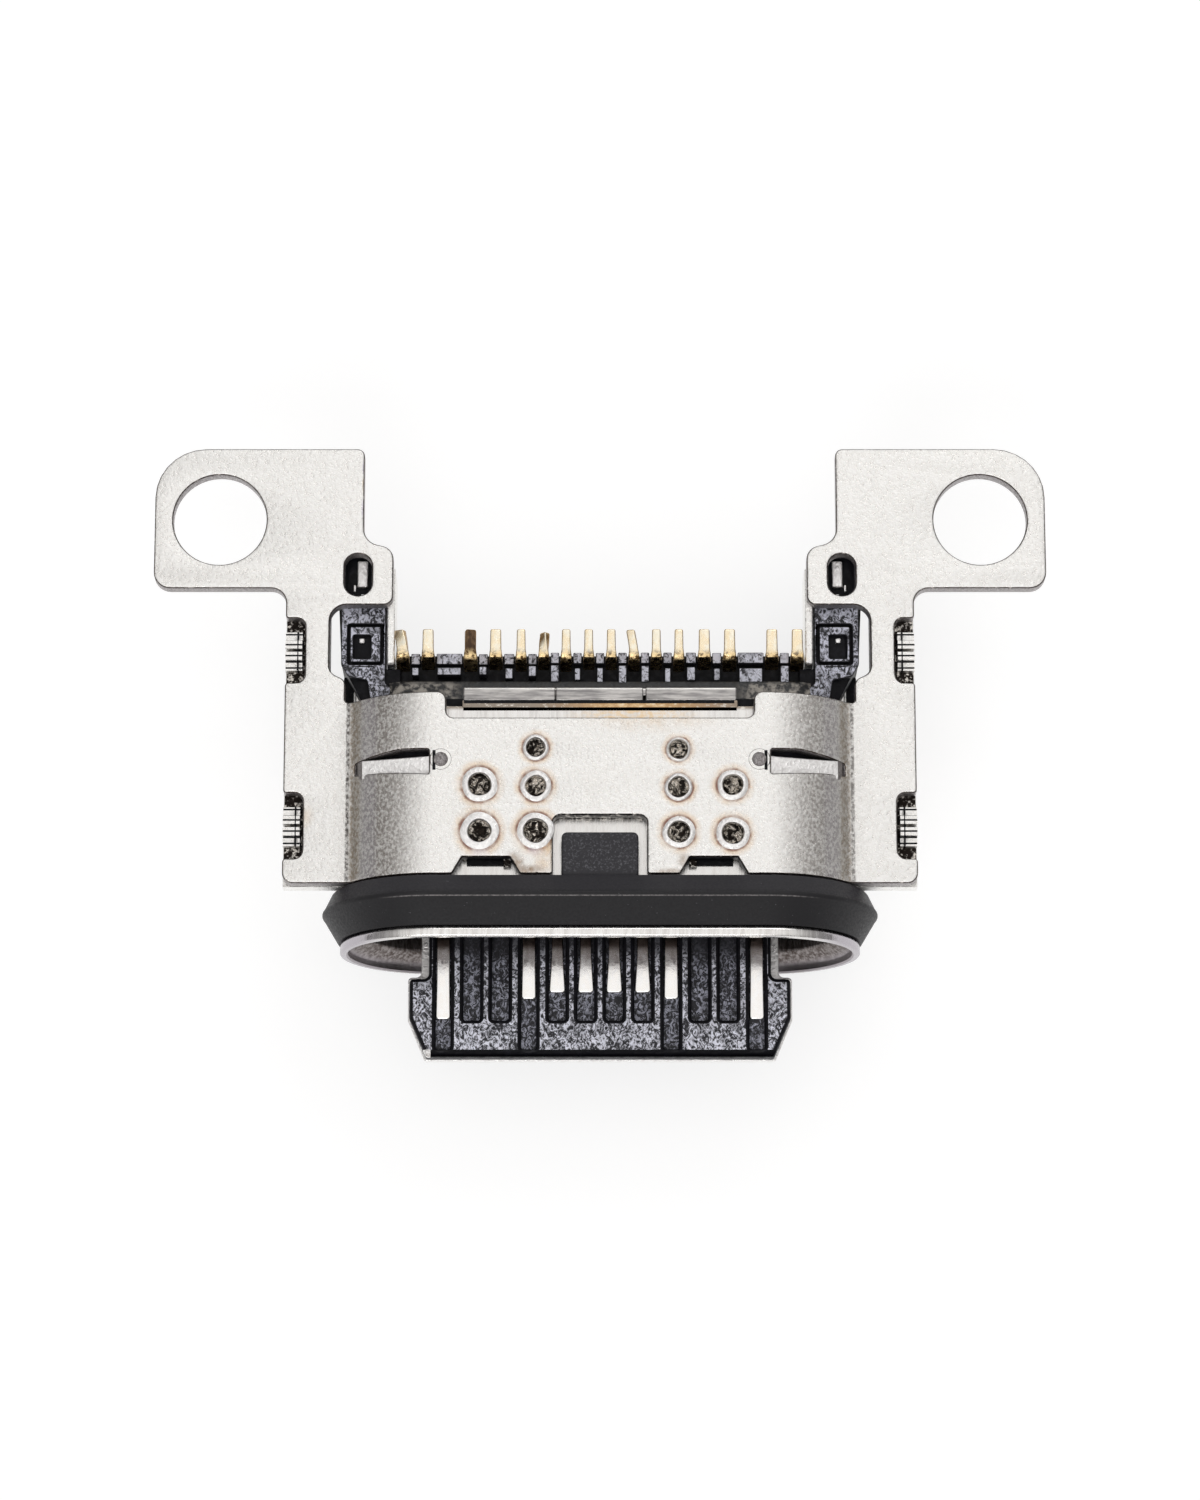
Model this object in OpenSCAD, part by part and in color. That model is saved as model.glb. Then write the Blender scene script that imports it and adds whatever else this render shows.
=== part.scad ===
// Sealed sixteen-contact USB-C socket on a stamped bracket with two screw ears.
// X runs across the mouth, +Y points away from the mouth, +Z is up.
// The origin lies midway between the screw holes, on the underside of the ears.

/* [Mouth] */
// Width of the plug opening
mouth_w = 8.34; // [8.2:0.01:8.5]
// Height of the plug opening
mouth_h = 2.56; // [2.5:0.01:2.62]
// Wall of the drawn inner shell
tube_t = 0.2; // [0.16:0.01:0.22]
// Distance from the screw line to the rim of the mouth
mouth_reach = 7.72; // [7.6:0.01:8.2]
// Length of the inner shell from the rim to its rear edge
tube_len = 4.17; // [4.12:0.01:4.22]
// How far the rim flares outwards
flare = 0.22; // [0.1:0.01:0.24]
// Length of the flared stretch
flare_len = 0.38; // [0.3:0.01:0.42]

/* [Bracket] */
// Thickness of the stamped bracket
sheet_t = 0.3; // [0.24:0.01:0.32]
// Height of the ears' underside above the plug axis
seat_height = 0.73; // [0.7:0.01:0.78]
// Distance of each screw hole from the centre
hole_x = 6.77; // [6.7:0.01:7.1]
// Radius of the screw holes
hole_r = 0.83; // [0.6:0.01:0.9]
// Ear metal outside the screw hole's centre
ear_rim = 1.16; // [1.1:0.01:1.5]
// Ear length behind the screw line
ear_rear = 1.32; // [1.2:0.01:1.8]
// Ear length in front of the screw line
ear_front = 1.27; // [1.2:0.01:1.3]
// Distance from the rim to the front edge of the cover
cover_setback = 1.09; // [1.05:0.01:1.2]
// Length of the raised cover
cover_len = 3.27; // [3.2:0.01:3.4]
// Half the width over the side strips
strip_half = 5.57; // [5.5:0.01:5.65]
// Depth of the notches in the strips' outer edge
notch_depth = 0.35; // [0.33:0.01:0.4]
// Length of each notch
notch_len = 1.18; // [1.1:0.01:1.25]
// Running clearance between stacked sheets
sheet_gap = 0.02; // [0.01:0.005:0.04]

/* [Lower shell] */
// Thickness of the lower shell
lower_t = 0.3; // [0.2:0.01:0.32]
// Width of each board leg
leg_w = 0.7; // [0.6:0.01:0.8]
// How far the board legs reach below the ears
leg_drop = 1.25; // [0.9:0.05:1.6]

/* [Seal] */
// Distance from the rim to the front of the seal
seal_setback = 0.2; // [0.15:0.01:0.25]
// Height of the seal's crest above the inner shell
seal_crest = 0.54; // [0.4:0.01:0.6]
// Half the width of the seal's key
seal_key_half = 0.67; // [0.5:0.01:0.72]

/* [Tongue] */
// Width of the tongue
tongue_w = 6.69; // [6.66:0.01:6.74]
// Thickness of the tongue
tongue_t = 0.7; // [0.68:0.01:0.74]
// How far the tongue stands out of the rim
tongue_out = 1.87; // [1.7:0.01:2]
// Thickness of the steel mid plate
plate_t = 0.15; // [0.12:0.01:0.18]
// Thickness of the thick root of the tongue
root_t = 1.24; // [1.2:0.01:1.3]
// Depth of the latch notches in the sides of the tongue
latch_depth = 0.34; // [0.2:0.01:0.36]

/* [Contacts] */
// Distance between neighbouring contact positions
pitch = 0.5; // [0.49:0.005:0.505]
// Thickness of the contact strip
contact_t = 0.12; // [0.1:0.01:0.13]
// Width of a contact on the tongue
contact_w = 0.27; // [0.22:0.01:0.28]
// Width of a signal tail
signal_tail_w = 0.16; // [0.12:0.01:0.18]
// Width of a power or ground tail
power_tail_w = 0.2; // [0.16:0.01:0.22]
// How far the tails stand out behind the comb
tail_out = 0.38; // [0.3:0.01:0.6]
// Depth of the contacts below the face of the tongue
contact_sink = 0.03; // [0.02:0.005:0.04]

/* [Rear housing] */
// Length of the comb behind the cover
comb_len = 1.01; // [0.98:0.01:1.1]
// Half the width of the comb block
comb_half = 3.56; // [3.55:0.005:3.575]
// Outer half width over the end blocks
block_half = 4.6; // [4.5:0.01:4.65]
// Clearance between the housing and the metal around it
housing_gap = 0.03; // [0.02:0.005:0.04]

/* [Hidden] */
$fn = 48;
eps = 0.01;
far = 12;

UPPER = 1;
LOWER = -1;
USED = [1, 4, 5, 6, 7, 8, 9, 12];

// Rim of the inner shell: two concentric arcs, tangent to the straight wall
rim_t = 0.14;
flare_steps = 8;
tube_ear_len = 0.11;
rear_overhang = 0.19;

// Bracket outline
strip_inset = 1.61;
strip_land = 0.43;
relief_r = 0.3;
relief_setback = 0.41;
ear_in = 4.2;
tab_overlap = 0.03;
tab_setback = 1.79;
tab_len = 0.97;
tab_r = 0.2;
front_corner_r = 0.19;
ear_corner_r = 0.9;
ear_front_r = 0.3;
ear_root_r = 0.45;
dome_fillet = 0.18;
recess_gap = 0.29;
recess_len = 0.47;
recess_r = 0.14;
key_gap = 0.15;
key_notch_len = 1.05;
lug_x = 1.98;
lug_base = 1.18;
lug_top = 0.83;
lug_len = 0.3;
notch_r = 0.15;
front_notch_at = 1.035;
rear_notch_at = 4.22;
slot_shift = 0.065;
slot_w = 0.49;
slot_setback = 0.555;
slot_len = 0.77;
wall_gap = 0.08;
wall_t = 0.14;
wall_len = 1.03;
wall_rear_inset = 0.25;
wall_drop = 0.9;

// Board legs of the lower shell
leg_step = 0.1;
leg_slit = 0.06;

// Pressed fingers and dimples on the shoulders of the cover
finger_inset = 0.09;
finger_len = 1.32;
finger_setback = 1.03;
finger_w = 0.45;
finger_slot = 0.12;
finger_sink = 0.12;
dimple_inset = 0.1;
dimple_r = 0.3;
dimple_sink = 0.08;

// Spot welds through the cover: an inner and an outer column on each side
weld_shift = 0.11;
weld_inner_x = 1.245;
weld_outer_x = 2.205;
weld_rows = [0.74, 1.54, 2.23];
weld_ring_r = 0.3;
weld_crater_r = 0.18;
weld_depth = 0.07;
weld_taper = 0.05;
weld_h = 0.03;

// Seal section
seal_rear_gap = 0.03;
seal_front_h = 0.1;
seal_rear_h = 0.27;
seal_crest_r = 0.13;
seal_crest_y = 0.46;
key_len = 0.75;
key_h = 0.3;

// Tongue
chamfer_x = 0.3;
chamfer_y = 0.7;
latch_start = 1.4;
latch_len = 1.5;
plate_peek = 0.05;
bevel = 0.08;
root_setback = 1.9;
root_inset = 0.39;
plug_setback = 3.0;
plate_root_inset = 0.22;
plate_setback = 2.3;
arm_shift = 0.025;
arm_w = 0.28;
arm_bar_len = 0.2;
arm_end = 0.3;
arm_hole = 0.12;
ground_start = 0.68;
power_start = 1.04;
signal_start = 1.155;
open_groove_w = 0.38;
groove_w = 0.355;
blank_depth = 0.12;
groove_run = 1.2;

// Contact route: level through the tongue, fanned out in the root, up a ramp, level at the tails
fan_setback = 0.1;
ramp_inset = 0.07;
ramp_angle = 69;
contact_neck = 0.3;
barb = 0.04;
inner_tail = 0.2;
tail_pitch = 0.4;
wide_pitch = 0.45;
tail_inset = 0.06;

// Comb
floor_drop = 1;
ledge_z = -0.08;
step_z = 0.04;
ledge_len = 0.16;
step_len = 0.22;
groove_len = 0.04;
well_margin = 0.07;
well_rise = 0.42;
block_top_z = -0.05;
block_rear_gap = 0.1;
chamfer_w = 0.4;
chamfer_len = 0.77;
rail_gap = 0.19;
window_gap = 0.025;
ring_out = 0.36;
ring_in = 0.27;
ring_w = 0.04;
ring_depth = 0.05;
ring_len = 0.69;
ring_setback = 0.97;
window_len = 0.42;
window_setback = 0.88;
potting_inset = 0.1;
potting_len = 0.38;
potting_drop = 0.2;

// Rear shield
shield_t = 0.15;
shield_half = 2.4;
shield_flap = 0.06;
shield_split_x = 0.78;
shield_split_w = 0.03;
shield_split_drop = 0.3;
shield_foot = 0.02;

// Heights and half widths that the pieces share
axis_z = -seat_height;
flat_half = (mouth_w - mouth_h) / 2;
bore_r = mouth_h / 2;
tube_r = bore_r + tube_t;
dome_in_r = tube_r + sheet_gap;
dome_out_r = dome_in_r + sheet_t;
lower_out_r = dome_in_r + lower_t;
strip_in = flat_half + strip_inset;
relief_in = strip_half - notch_depth - strip_land;
rail_in = block_half + rail_gap;
wall_in = comb_half + wall_gap;
wall_out = wall_in + wall_t;
tab_in = wall_in + tab_overlap;
arm_x = (wall_out + housing_gap + block_half) / 2 + arm_shift;
slot_x = arm_x + slot_shift;
root_half = mouth_w / 2 - root_inset;
plate_root_half = mouth_w / 2 - plate_root_inset;
recess_half = shield_half + recess_gap;
tube_ear_half = shield_half + shield_foot;
key_notch_half = seal_key_half + key_gap;
finger_in = flat_half + finger_inset;
finger_out = finger_in + finger_len;
dimple_x = flat_half - dimple_inset;
weld_columns = [weld_inner_x, weld_outer_x];
tail_axis_z = contact_t / 2;
floor_z = axis_z - floor_drop;
well_floor_z = axis_z + well_rise;

// Stations along Y; the back of the part stands behind both the cover and the inner shell
rim_y = -mouth_reach;
tip_y = rim_y - tongue_out;
tube_rear_y = rim_y + tube_len;
cover_front_y = rim_y + cover_setback;
cover_rear_y = cover_front_y + cover_len;
notch_offsets = [front_notch_at, rear_notch_at];
rear_y = max(cover_rear_y, tube_rear_y + rear_overhang);
comb_rear_y = rear_y + comb_len;
tail_tip_y = comb_rear_y + tail_out;
tab_front_y = rear_y + tab_setback;
tab_rear_y = tab_front_y + tab_len;
slot_y = tab_front_y + slot_setback;
block_rear_y = tab_rear_y + block_rear_gap;
fan_front_y = rim_y + plug_setback + fan_setback;
fan_rear_y = rear_y - barb;
ramp_top_y = comb_rear_y - ramp_inset;

// Tails of the two rows, from the centre outwards
outer_tail = comb_half - tail_inset;
fourth_tail = inner_tail + 3 * tail_pitch;
upper_tails = [inner_tail, inner_tail + 2 * tail_pitch, fourth_tail + wide_pitch, outer_tail - wide_pitch];
lower_tails = [inner_tail + tail_pitch, fourth_tail, fourth_tail + 2 * wide_pitch, outer_tail];

// ---------------------------------------------------------------- outline helpers

// Cuts a convex corner at (x, y) to radius r; the metal lies towards sx, sy
module corner_cut(x, y, r, sx, sy)
    difference() {
        translate([sx > 0 ? x - eps : x - r, sy > 0 ? y - eps : y - r]) square(r + eps);
        translate([x + sx * r, y + sy * r]) circle(r);
    }

// Fills a concave corner at (x, y) to radius r; the open side lies towards sx, sy
module corner_fill(x, y, r, sx, sy)
    difference() {
        translate([sx > 0 ? x - eps : x - r, sy > 0 ? y - eps : y - r]) square(r + eps);
        translate([x + sx * r, y + sy * r]) circle(r);
    }

// Rectangle from corner a to corner b, with one radius on all its corners
module round_rect(a, b, r)
    difference() {
        translate(a) square(b - a);
        for (sx = [-1, 1], sy = [-1, 1])
            corner_cut(sx > 0 ? a.x : b.x, sy > 0 ? a.y : b.y, r, sx, sy);
    }

// Box from corner a to corner b
module block(a, b) translate(a) cube(b - a);

module both_sides() {
    children();
    mirror([1, 0, 0]) children();
}

// Extrudes a section drawn in X and Z along Y
module along_y(y0, y1)
    translate([0, y1, 0]) rotate([90, 0, 0]) linear_extrude(y1 - y0) children();

// Extrudes an outline drawn in X and Y along Z
module along_z(z0, z1) translate([0, 0, z0]) linear_extrude(z1 - z0) children();

// Sweeps a section drawn as (radius, y) around the mouth's stadium
module stadium_sweep() {
    for (side = [0, 1])
        mirror([side, 0, 0])
            translate([flat_half, 0, axis_z])
                rotate([90, 90, 0]) mirror([0, 0, 1]) rotate_extrude(angle = 180, start = 0) children();
    for (side = [0, 1])
        translate([0, 0, axis_z]) mirror([0, 0, side])
            translate([-flat_half, 0, 0]) rotate([90, 0, 90]) linear_extrude(2 * flat_half)
                mirror([1, -1]) children();
}

// Stadium of radius r around the plug axis, in X and Z
module stadium(r) {
    translate([-flat_half, axis_z - r]) square([2 * flat_half, 2 * r]);
    for (side = [-1, 1]) translate([side * flat_half, axis_z]) circle(r);
}

// ---------------------------------------------------------------- mounting bracket

// Cross-section of the cover and its side strips, one bent sheet
module cover_section() {
    shoulder_x = flat_half + sqrt(pow(dome_out_r, 2) - pow(seat_height + sheet_t, 2));
    difference() {
        union() {
            stadium(dome_out_r);
            translate([-strip_half, 0]) square([2 * strip_half, sheet_t]);
            for (side = [0, 1]) mirror([side, 0])
                corner_fill(shoulder_x, sheet_t, dome_fillet, 1, 1);
        }
        stadium(dome_in_r);
        translate([-far, -far]) square([2 * far, far]);
    }
}

module notch_outline()
    for (at = notch_offsets)
        round_rect([strip_half - notch_depth, cover_front_y + at - notch_len / 2],
                   [strip_half + 2 * notch_r, cover_front_y + at + notch_len / 2], notch_r);

// Half outline of everything behind the cover: strip, relief, ear and tab
module ear_outline() {
    ear_out = hole_x + ear_rim;
    difference() {
        union() {
            difference() {
                translate([strip_in, cover_rear_y - eps])
                    square([strip_half - strip_in, -ear_front - cover_rear_y + 2 * eps]);
                round_rect([strip_in - 2 * relief_r, cover_rear_y + relief_setback],
                           [relief_in, tab_front_y], relief_r);
            }
            translate([ear_in, -ear_front]) square([ear_out - ear_in, ear_rear + ear_front]);
            round_rect([tab_in, tab_front_y], [strip_half - tab_r, tab_rear_y], tab_r);
            corner_fill(strip_half, -ear_front, ear_root_r, 1, -1);
            corner_fill(ear_in, tab_rear_y, 0.25, -1, 1);
        }
        corner_cut(ear_out, ear_rear, ear_corner_r, -1, -1);
        corner_cut(ear_out, -ear_front, ear_front_r, -1, 1);
        corner_cut(ear_in, ear_rear, 0.13, 1, -1);
        translate([hole_x, 0]) circle(hole_r);
        round_rect([slot_x - slot_w / 2, slot_y - slot_len / 2],
                   [slot_x + slot_w / 2, slot_y + slot_len / 2], slot_w / 2 - eps);
        notch_outline();
    }
}

// Openings in the raised cover, seen from above
module cover_openings() {
    translate([0, cover_front_y])
        round_rect([-key_notch_half, -far], [key_notch_half, key_notch_len], recess_r);
    translate([0, tube_rear_y + rear_overhang - recess_len])
        round_rect([-recess_half, 0], [recess_half, far], recess_r);
    for (side = [-1, 1])
        translate([side * lug_x, cover_front_y])
            polygon([[-lug_base / 2, -eps], [lug_base / 2, -eps],
                     [lug_top / 2, lug_len], [-lug_top / 2, lug_len]]);
    both_sides() {
        notch_outline();
        corner_cut(strip_half, cover_front_y, front_corner_r, -1, 1);
        translate([finger_in, cover_rear_y - finger_setback - finger_slot])
            square([finger_out - finger_in, finger_slot]);
    }
}

// Fingers pressed into the shoulders, with a dimple at the inner end
module pressed_fingers()
    both_sides() {
        intersection() {
            along_y(cover_rear_y - finger_setback - finger_w, cover_rear_y - finger_setback)
                difference() {
                    stadium(dome_out_r + sheet_t);
                    stadium(dome_out_r - finger_sink);
                }
            block([finger_in, -far, sheet_t + dome_fillet / 2], [finger_out, far, far]);
        }
        translate([dimple_x, cover_rear_y - finger_setback - finger_w / 2,
                   axis_z + dome_out_r + dimple_r - dimple_sink])
            sphere(dimple_r);
    }

module weld_places()
    for (side = [-1, 1], column = [0, 1], row = [0, 1, 2])
        if (column == 0 || row < 2)
            translate([side * weld_columns[column] + weld_shift, cover_front_y + weld_rows[row],
                       axis_z + dome_out_r])
                children();

// Raised bead around each weld
module weld_beads()
    weld_places()
        translate([0, 0, -eps]) cylinder(h = weld_h + eps, r1 = weld_ring_r, r2 = weld_ring_r - weld_taper);

module weld_craters()
    weld_places()
        translate([0, 0, -weld_depth])
            cylinder(h = 2 * weld_depth, r1 = weld_crater_r - weld_taper, r2 = weld_crater_r + weld_taper / 2);

// Wall turned down from the inner edge of each tab
module tab_walls()
    both_sides()
        block([wall_in, tab_front_y - wall_len, -wall_drop],
              [wall_out, tab_rear_y - wall_rear_inset, sheet_t / 2]);

module mounting_bracket()
    color("silver") {
        difference() {
            union() {
                along_y(cover_front_y, cover_rear_y) cover_section();
                weld_beads();
            }
            along_z(-far, far) cover_openings();
            pressed_fingers();
            weld_craters();
        }
        along_z(0, sheet_t) both_sides() ear_outline();
        tab_walls();
    }

// ---------------------------------------------------------------- lower shell

module lower_section() {
    top = -sheet_gap;
    difference() {
        union() {
            intersection() {
                stadium(lower_out_r);
                translate([-far, axis_z - far]) square([2 * far, top - axis_z + far]);
            }
            translate([-strip_half, top - lower_t]) square([2 * strip_half, lower_t]);
        }
        stadium(dome_in_r);
    }
}

// Side rails that run back under the strips
module rail_outline()
    both_sides()
        translate([rail_in, cover_rear_y - eps])
            square([strip_half - rail_in, tab_front_y - cover_rear_y + eps]);

// Finger that stands in a notch, split down its middle, and the board leg below it
module board_leg() {
    foot_w = leg_w * 0.55;
    difference() {
        union() {
            block([strip_half - lower_t, -leg_w / 2, -sheet_gap - lower_t / 2],
                  [strip_half, leg_w / 2, sheet_t - leg_step]);
            block([strip_half - lower_t, -leg_w / 4, -sheet_gap - lower_t / 2],
                  [strip_half, leg_w / 4, sheet_t]);
        }
        block([0, -leg_slit / 2, 0], [far, leg_slit / 2, far]);
    }
    translate([strip_half - lower_t, 0, 0]) rotate([90, 0, 90]) linear_extrude(lower_t)
        polygon([[-leg_w / 2, -sheet_gap - lower_t / 2], [-leg_w / 2, -leg_drop * 0.6],
                 [-foot_w / 2, -leg_drop], [foot_w / 2, -leg_drop],
                 [leg_w / 2, -leg_drop * 0.6], [leg_w / 2, -sheet_gap - lower_t / 2]]);
}

module lower_shell()
    color("lightgray") {
        along_y(cover_front_y, cover_rear_y) lower_section();
        along_z(-sheet_gap - lower_t, -sheet_gap) rail_outline();
        for (at = notch_offsets)
            translate([0, cover_front_y + at, 0]) both_sides() board_leg();
    }

// ---------------------------------------------------------------- inner shell

// Radius of the flare's arc, from its length and its rise
function flare_radius() = (pow(flare_len, 2) + pow(flare, 2)) / (2 * flare);

// Outer and inner lines of the flare, as (radius, y), from the rim to the straight wall
function flare_line(r, rise) =
    let (radius = flare_radius(), reach = asin(flare_len / radius))
    [for (i = [0:flare_steps])
        let (a = reach * (1 - i / flare_steps))
        [r + rise * (1 - cos(a)) / (1 - cos(reach)), rim_y + flare_len - radius * sin(a)]];

// Everything inside the shell's outer face, grown by a clearance
module tube_outside(grow = 0)
    polygon(concat(flare_line(tube_r + grow, flare),
                   [[tube_r + grow, tube_rear_y], [0, tube_rear_y], [0, rim_y]]));

module tube_wall()
    difference() {
        tube_outside();
        polygon(concat([[0, rim_y - eps]], [[bore_r + flare + tube_t - rim_t, rim_y - eps]],
                       flare_line(bore_r, flare + tube_t - rim_t),
                       [[bore_r, tube_rear_y + eps], [0, tube_rear_y + eps]]));
    }

module inner_shell()
    color("gainsboro") {
        stadium_sweep() tube_wall();
        block([-tube_ear_half, tube_rear_y - eps, axis_z + bore_r],
              [tube_ear_half, tube_rear_y + tube_ear_len, axis_z + tube_r]);
    }

// ---------------------------------------------------------------- seal

// Lip section: low at the front, a round crest, a lower heel
module seal_section() {
    front_y = rim_y + seal_setback;
    heel_y = cover_front_y - seal_rear_gap;
    crest_y = front_y + seal_crest_y;
    crest = tube_r + seal_crest - seal_crest_r;
    difference() {
        union() {
            polygon([[tube_r - eps, front_y], [tube_r + seal_front_h + flare / 2, front_y],
                     [crest, crest_y - seal_crest_r], [crest, crest_y + seal_crest_r],
                     [tube_r + seal_rear_h, heel_y], [tube_r - eps, heel_y]]);
            translate([crest, crest_y]) circle(seal_crest_r);
        }
        tube_outside(sheet_gap / 2);
    }
}

module seal_ring()
    color("dimgray") {
        stadium_sweep() seal_section();
        along_z(axis_z + tube_r + sheet_gap / 2, axis_z + tube_r + key_h)
            translate([0, cover_front_y - seal_rear_gap - eps])
                round_rect([-seal_key_half, -0.15], [seal_key_half, key_len + eps], 0.1);
    }

// ---------------------------------------------------------------- tongue

// Outline of the tongue, grown sideways and forwards; the latch notches keep their length
module tongue_outline(grow = 0) {
    half = tongue_w / 2 + grow;
    front = tip_y - grow / 2;
    latch_y = tip_y + latch_start;
    side = [[half - chamfer_x, front], [half, tip_y + chamfer_y], [half, latch_y],
            [half - latch_depth, latch_y + grow], [half - latch_depth, latch_y + latch_len - grow],
            [half, latch_y + latch_len], [half, rear_y - 2 * latch_depth]];
    polygon(concat(side, [for (i = [len(side) - 1:-1:0]) [-side[i].x, side[i].y]]));
}

function contact_x(side, k) = side * (k - 6.5) * pitch;
function is_ground(k) = k == 1 || k == 12;
function is_power(k) = k == 4 || k == 9;
function start_y(k) = tip_y + (is_ground(k) ? ground_start : is_power(k) ? power_start : signal_start);
function is_used(k) = len(search(k, USED)) > 0;

// Rank of a contact from the centre, the same on both sides
function rank(k) = is_ground(k) ? 3 : k < 7 ? 6 - k : k - 7;
function tail_x(side, k) =
    sign(contact_x(side, k)) * (side == UPPER ? upper_tails : lower_tails)[rank(k)];
function tail_w(k) = is_ground(k) || is_power(k) ? power_tail_w : signal_tail_w;

// Groove over each contact position; the ones that carry current run out to the front
module grooves(side, depth)
    for (k = [1:12]) {
        open = is_ground(k) || is_power(k);
        w = open ? open_groove_w : groove_w;
        deep = is_used(k) ? depth : blank_depth;
        front = open ? tip_y + bevel : tip_y + ground_start;
        block([contact_x(side, k) - w / 2, front, tongue_t / 2 - deep],
              [contact_x(side, k) + w / 2, rim_y + groove_run, tongue_t]);
    }

// One half of the tongue, moulded around its row of contacts
module wafer(side)
    translate([0, 0, axis_z]) mirror([0, 0, side == UPPER ? 0 : 1])
        difference() {
            union() {
                along_z(plate_t / 2, tongue_t / 2) tongue_outline();
                block([-root_half, rim_y + root_setback, plate_t / 2],
                      [root_half, rear_y - housing_gap, root_t / 2]);
            }
            grooves(side, contact_sink);
            translate([-far, tip_y, tongue_t / 2]) rotate([45, 0, 0])
                cube([2 * far, bevel, bevel], center = false);
        }

module upper_wafer()
    color([0.13, 0.13, 0.15]) difference() {
        wafer(UPPER);
        contact_row(UPPER);
    }

module lower_wafer()
    color([0.13, 0.13, 0.15]) difference() {
        wafer(LOWER);
        contact_row(LOWER);
    }

// Steel plate between the two wafers; its arms reach back through the end blocks
module plate_outline() {
    bar_y = rear_y + housing_gap;
    tongue_outline(plate_peek);
    translate([-plate_root_half, rim_y + plate_setback])
        square([2 * plate_root_half, bar_y + arm_bar_len - rim_y - plate_setback]);
    both_sides() {
        translate([plate_root_half - arm_w, bar_y])
            square([arm_x + arm_w * 3 / 2 - plate_root_half, arm_bar_len]);
        translate([arm_x - arm_w / 2, bar_y]) square([arm_w, slot_y + arm_end - bar_y]);
    }
}

module mid_plate()
    color("lightsteelblue") along_z(axis_z - plate_t / 2, axis_z + plate_t / 2)
        difference() {
            plate_outline();
            for (side = [-1, 1])
                translate([side * arm_x - arm_hole / 2, slot_y - arm_hole / 2]) square(arm_hole);
        }

// ---------------------------------------------------------------- contacts

function unit(v) = v / norm(v);
function left_of(v) = [-v.y, v.x];
function run(p, i) = unit(p[i + 1] - p[i]);
function mitre(p, i) =
    let (a = left_of(run(p, max(i - 1, 0))), b = left_of(run(p, min(i, len(p) - 2))), m = unit(a + b))
    m / (m * a);

// Outline of a strip of thickness t along the line p
function strip(p, t) = concat(
    [for (i = [0:len(p) - 1]) p[i] + mitre(p, i) * t / 2],
    [for (i = [len(p) - 1:-1:0]) p[i] - mitre(p, i) * t / 2]);

// Outline of a ribbon with centre points p and a width at each of them
function ribbon(p, w) = concat(
    [for (i = [0:len(p) - 1]) [p[i].x - w[i] / 2, p[i].y]],
    [for (i = [len(p) - 1:-1:0]) [p[i].x + w[i] / 2, p[i].y]]);

// Bent tails: sideways lean and lost length, by row and position
function lean(side, k) =
    side == LOWER && k == 12 ? -0.03 : side == LOWER && k == 6 ? -0.05 : side == UPPER && k == 5 ? 0.02 : 0;
function cut_short(side, k) = side == UPPER && k == 5 ? 0.06 : 0;

function level_z(side) = axis_z + side * (tongue_t / 2 - contact_sink - contact_t / 2);

module contact(side, k) {
    rise = tail_axis_z - level_z(side);
    ramp_y = ramp_top_y - rise / tan(ramp_angle);
    x0 = contact_x(side, k);
    x1 = tail_x(side, k);
    w = tail_w(k);
    end_y = tail_tip_y - cut_short(side, k);
    profile = [[start_y(k), level_z(side)], [ramp_y, level_z(side)],
               [ramp_top_y, tail_axis_z], [end_y, tail_axis_z]];
    path = [[x0, start_y(k)], [x0, start_y(k) + contact_neck], [x0, fan_front_y],
            [x1, fan_rear_y], [x1, comb_rear_y], [x1 + lean(side, k), end_y]];
    intersection() {
        translate([-far, 0, 0]) rotate([90, 0, 90]) linear_extrude(2 * far)
            polygon(strip(profile, contact_t));
        along_z(-far, far) polygon(ribbon(path, [contact_w, contact_w * 0.85, w + barb, w + barb, w, w]));
    }
}

module contact_row(side) for (k = USED) contact(side, k);

// ---------------------------------------------------------------- rear housing

// Slots in the comb around each tail
module wells()
    for (side = [UPPER, LOWER], k = USED) {
        half = tail_w(k) / 2 + well_margin;
        block([tail_x(side, k) - half, comb_rear_y - ledge_len - groove_len - step_len * 0.8, well_floor_z],
              [tail_x(side, k) + half, far, far]);
    }

// Comb block with a rear ledge, a groove and a higher front step
module comb() {
    ledge_y = comb_rear_y - ledge_len;
    step_y = ledge_y - groove_len;
    difference() {
        union() {
            block([-comb_half, rear_y, floor_z], [comb_half, comb_rear_y, ledge_z]);
            block([-comb_half, rear_y + shield_t + shield_foot, floor_z], [comb_half, step_y, step_z]);
        }
        block([-comb_half - eps, step_y, ledge_z - 0.1], [comb_half + eps, ledge_y, far]);
        wells();
    }
}

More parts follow.
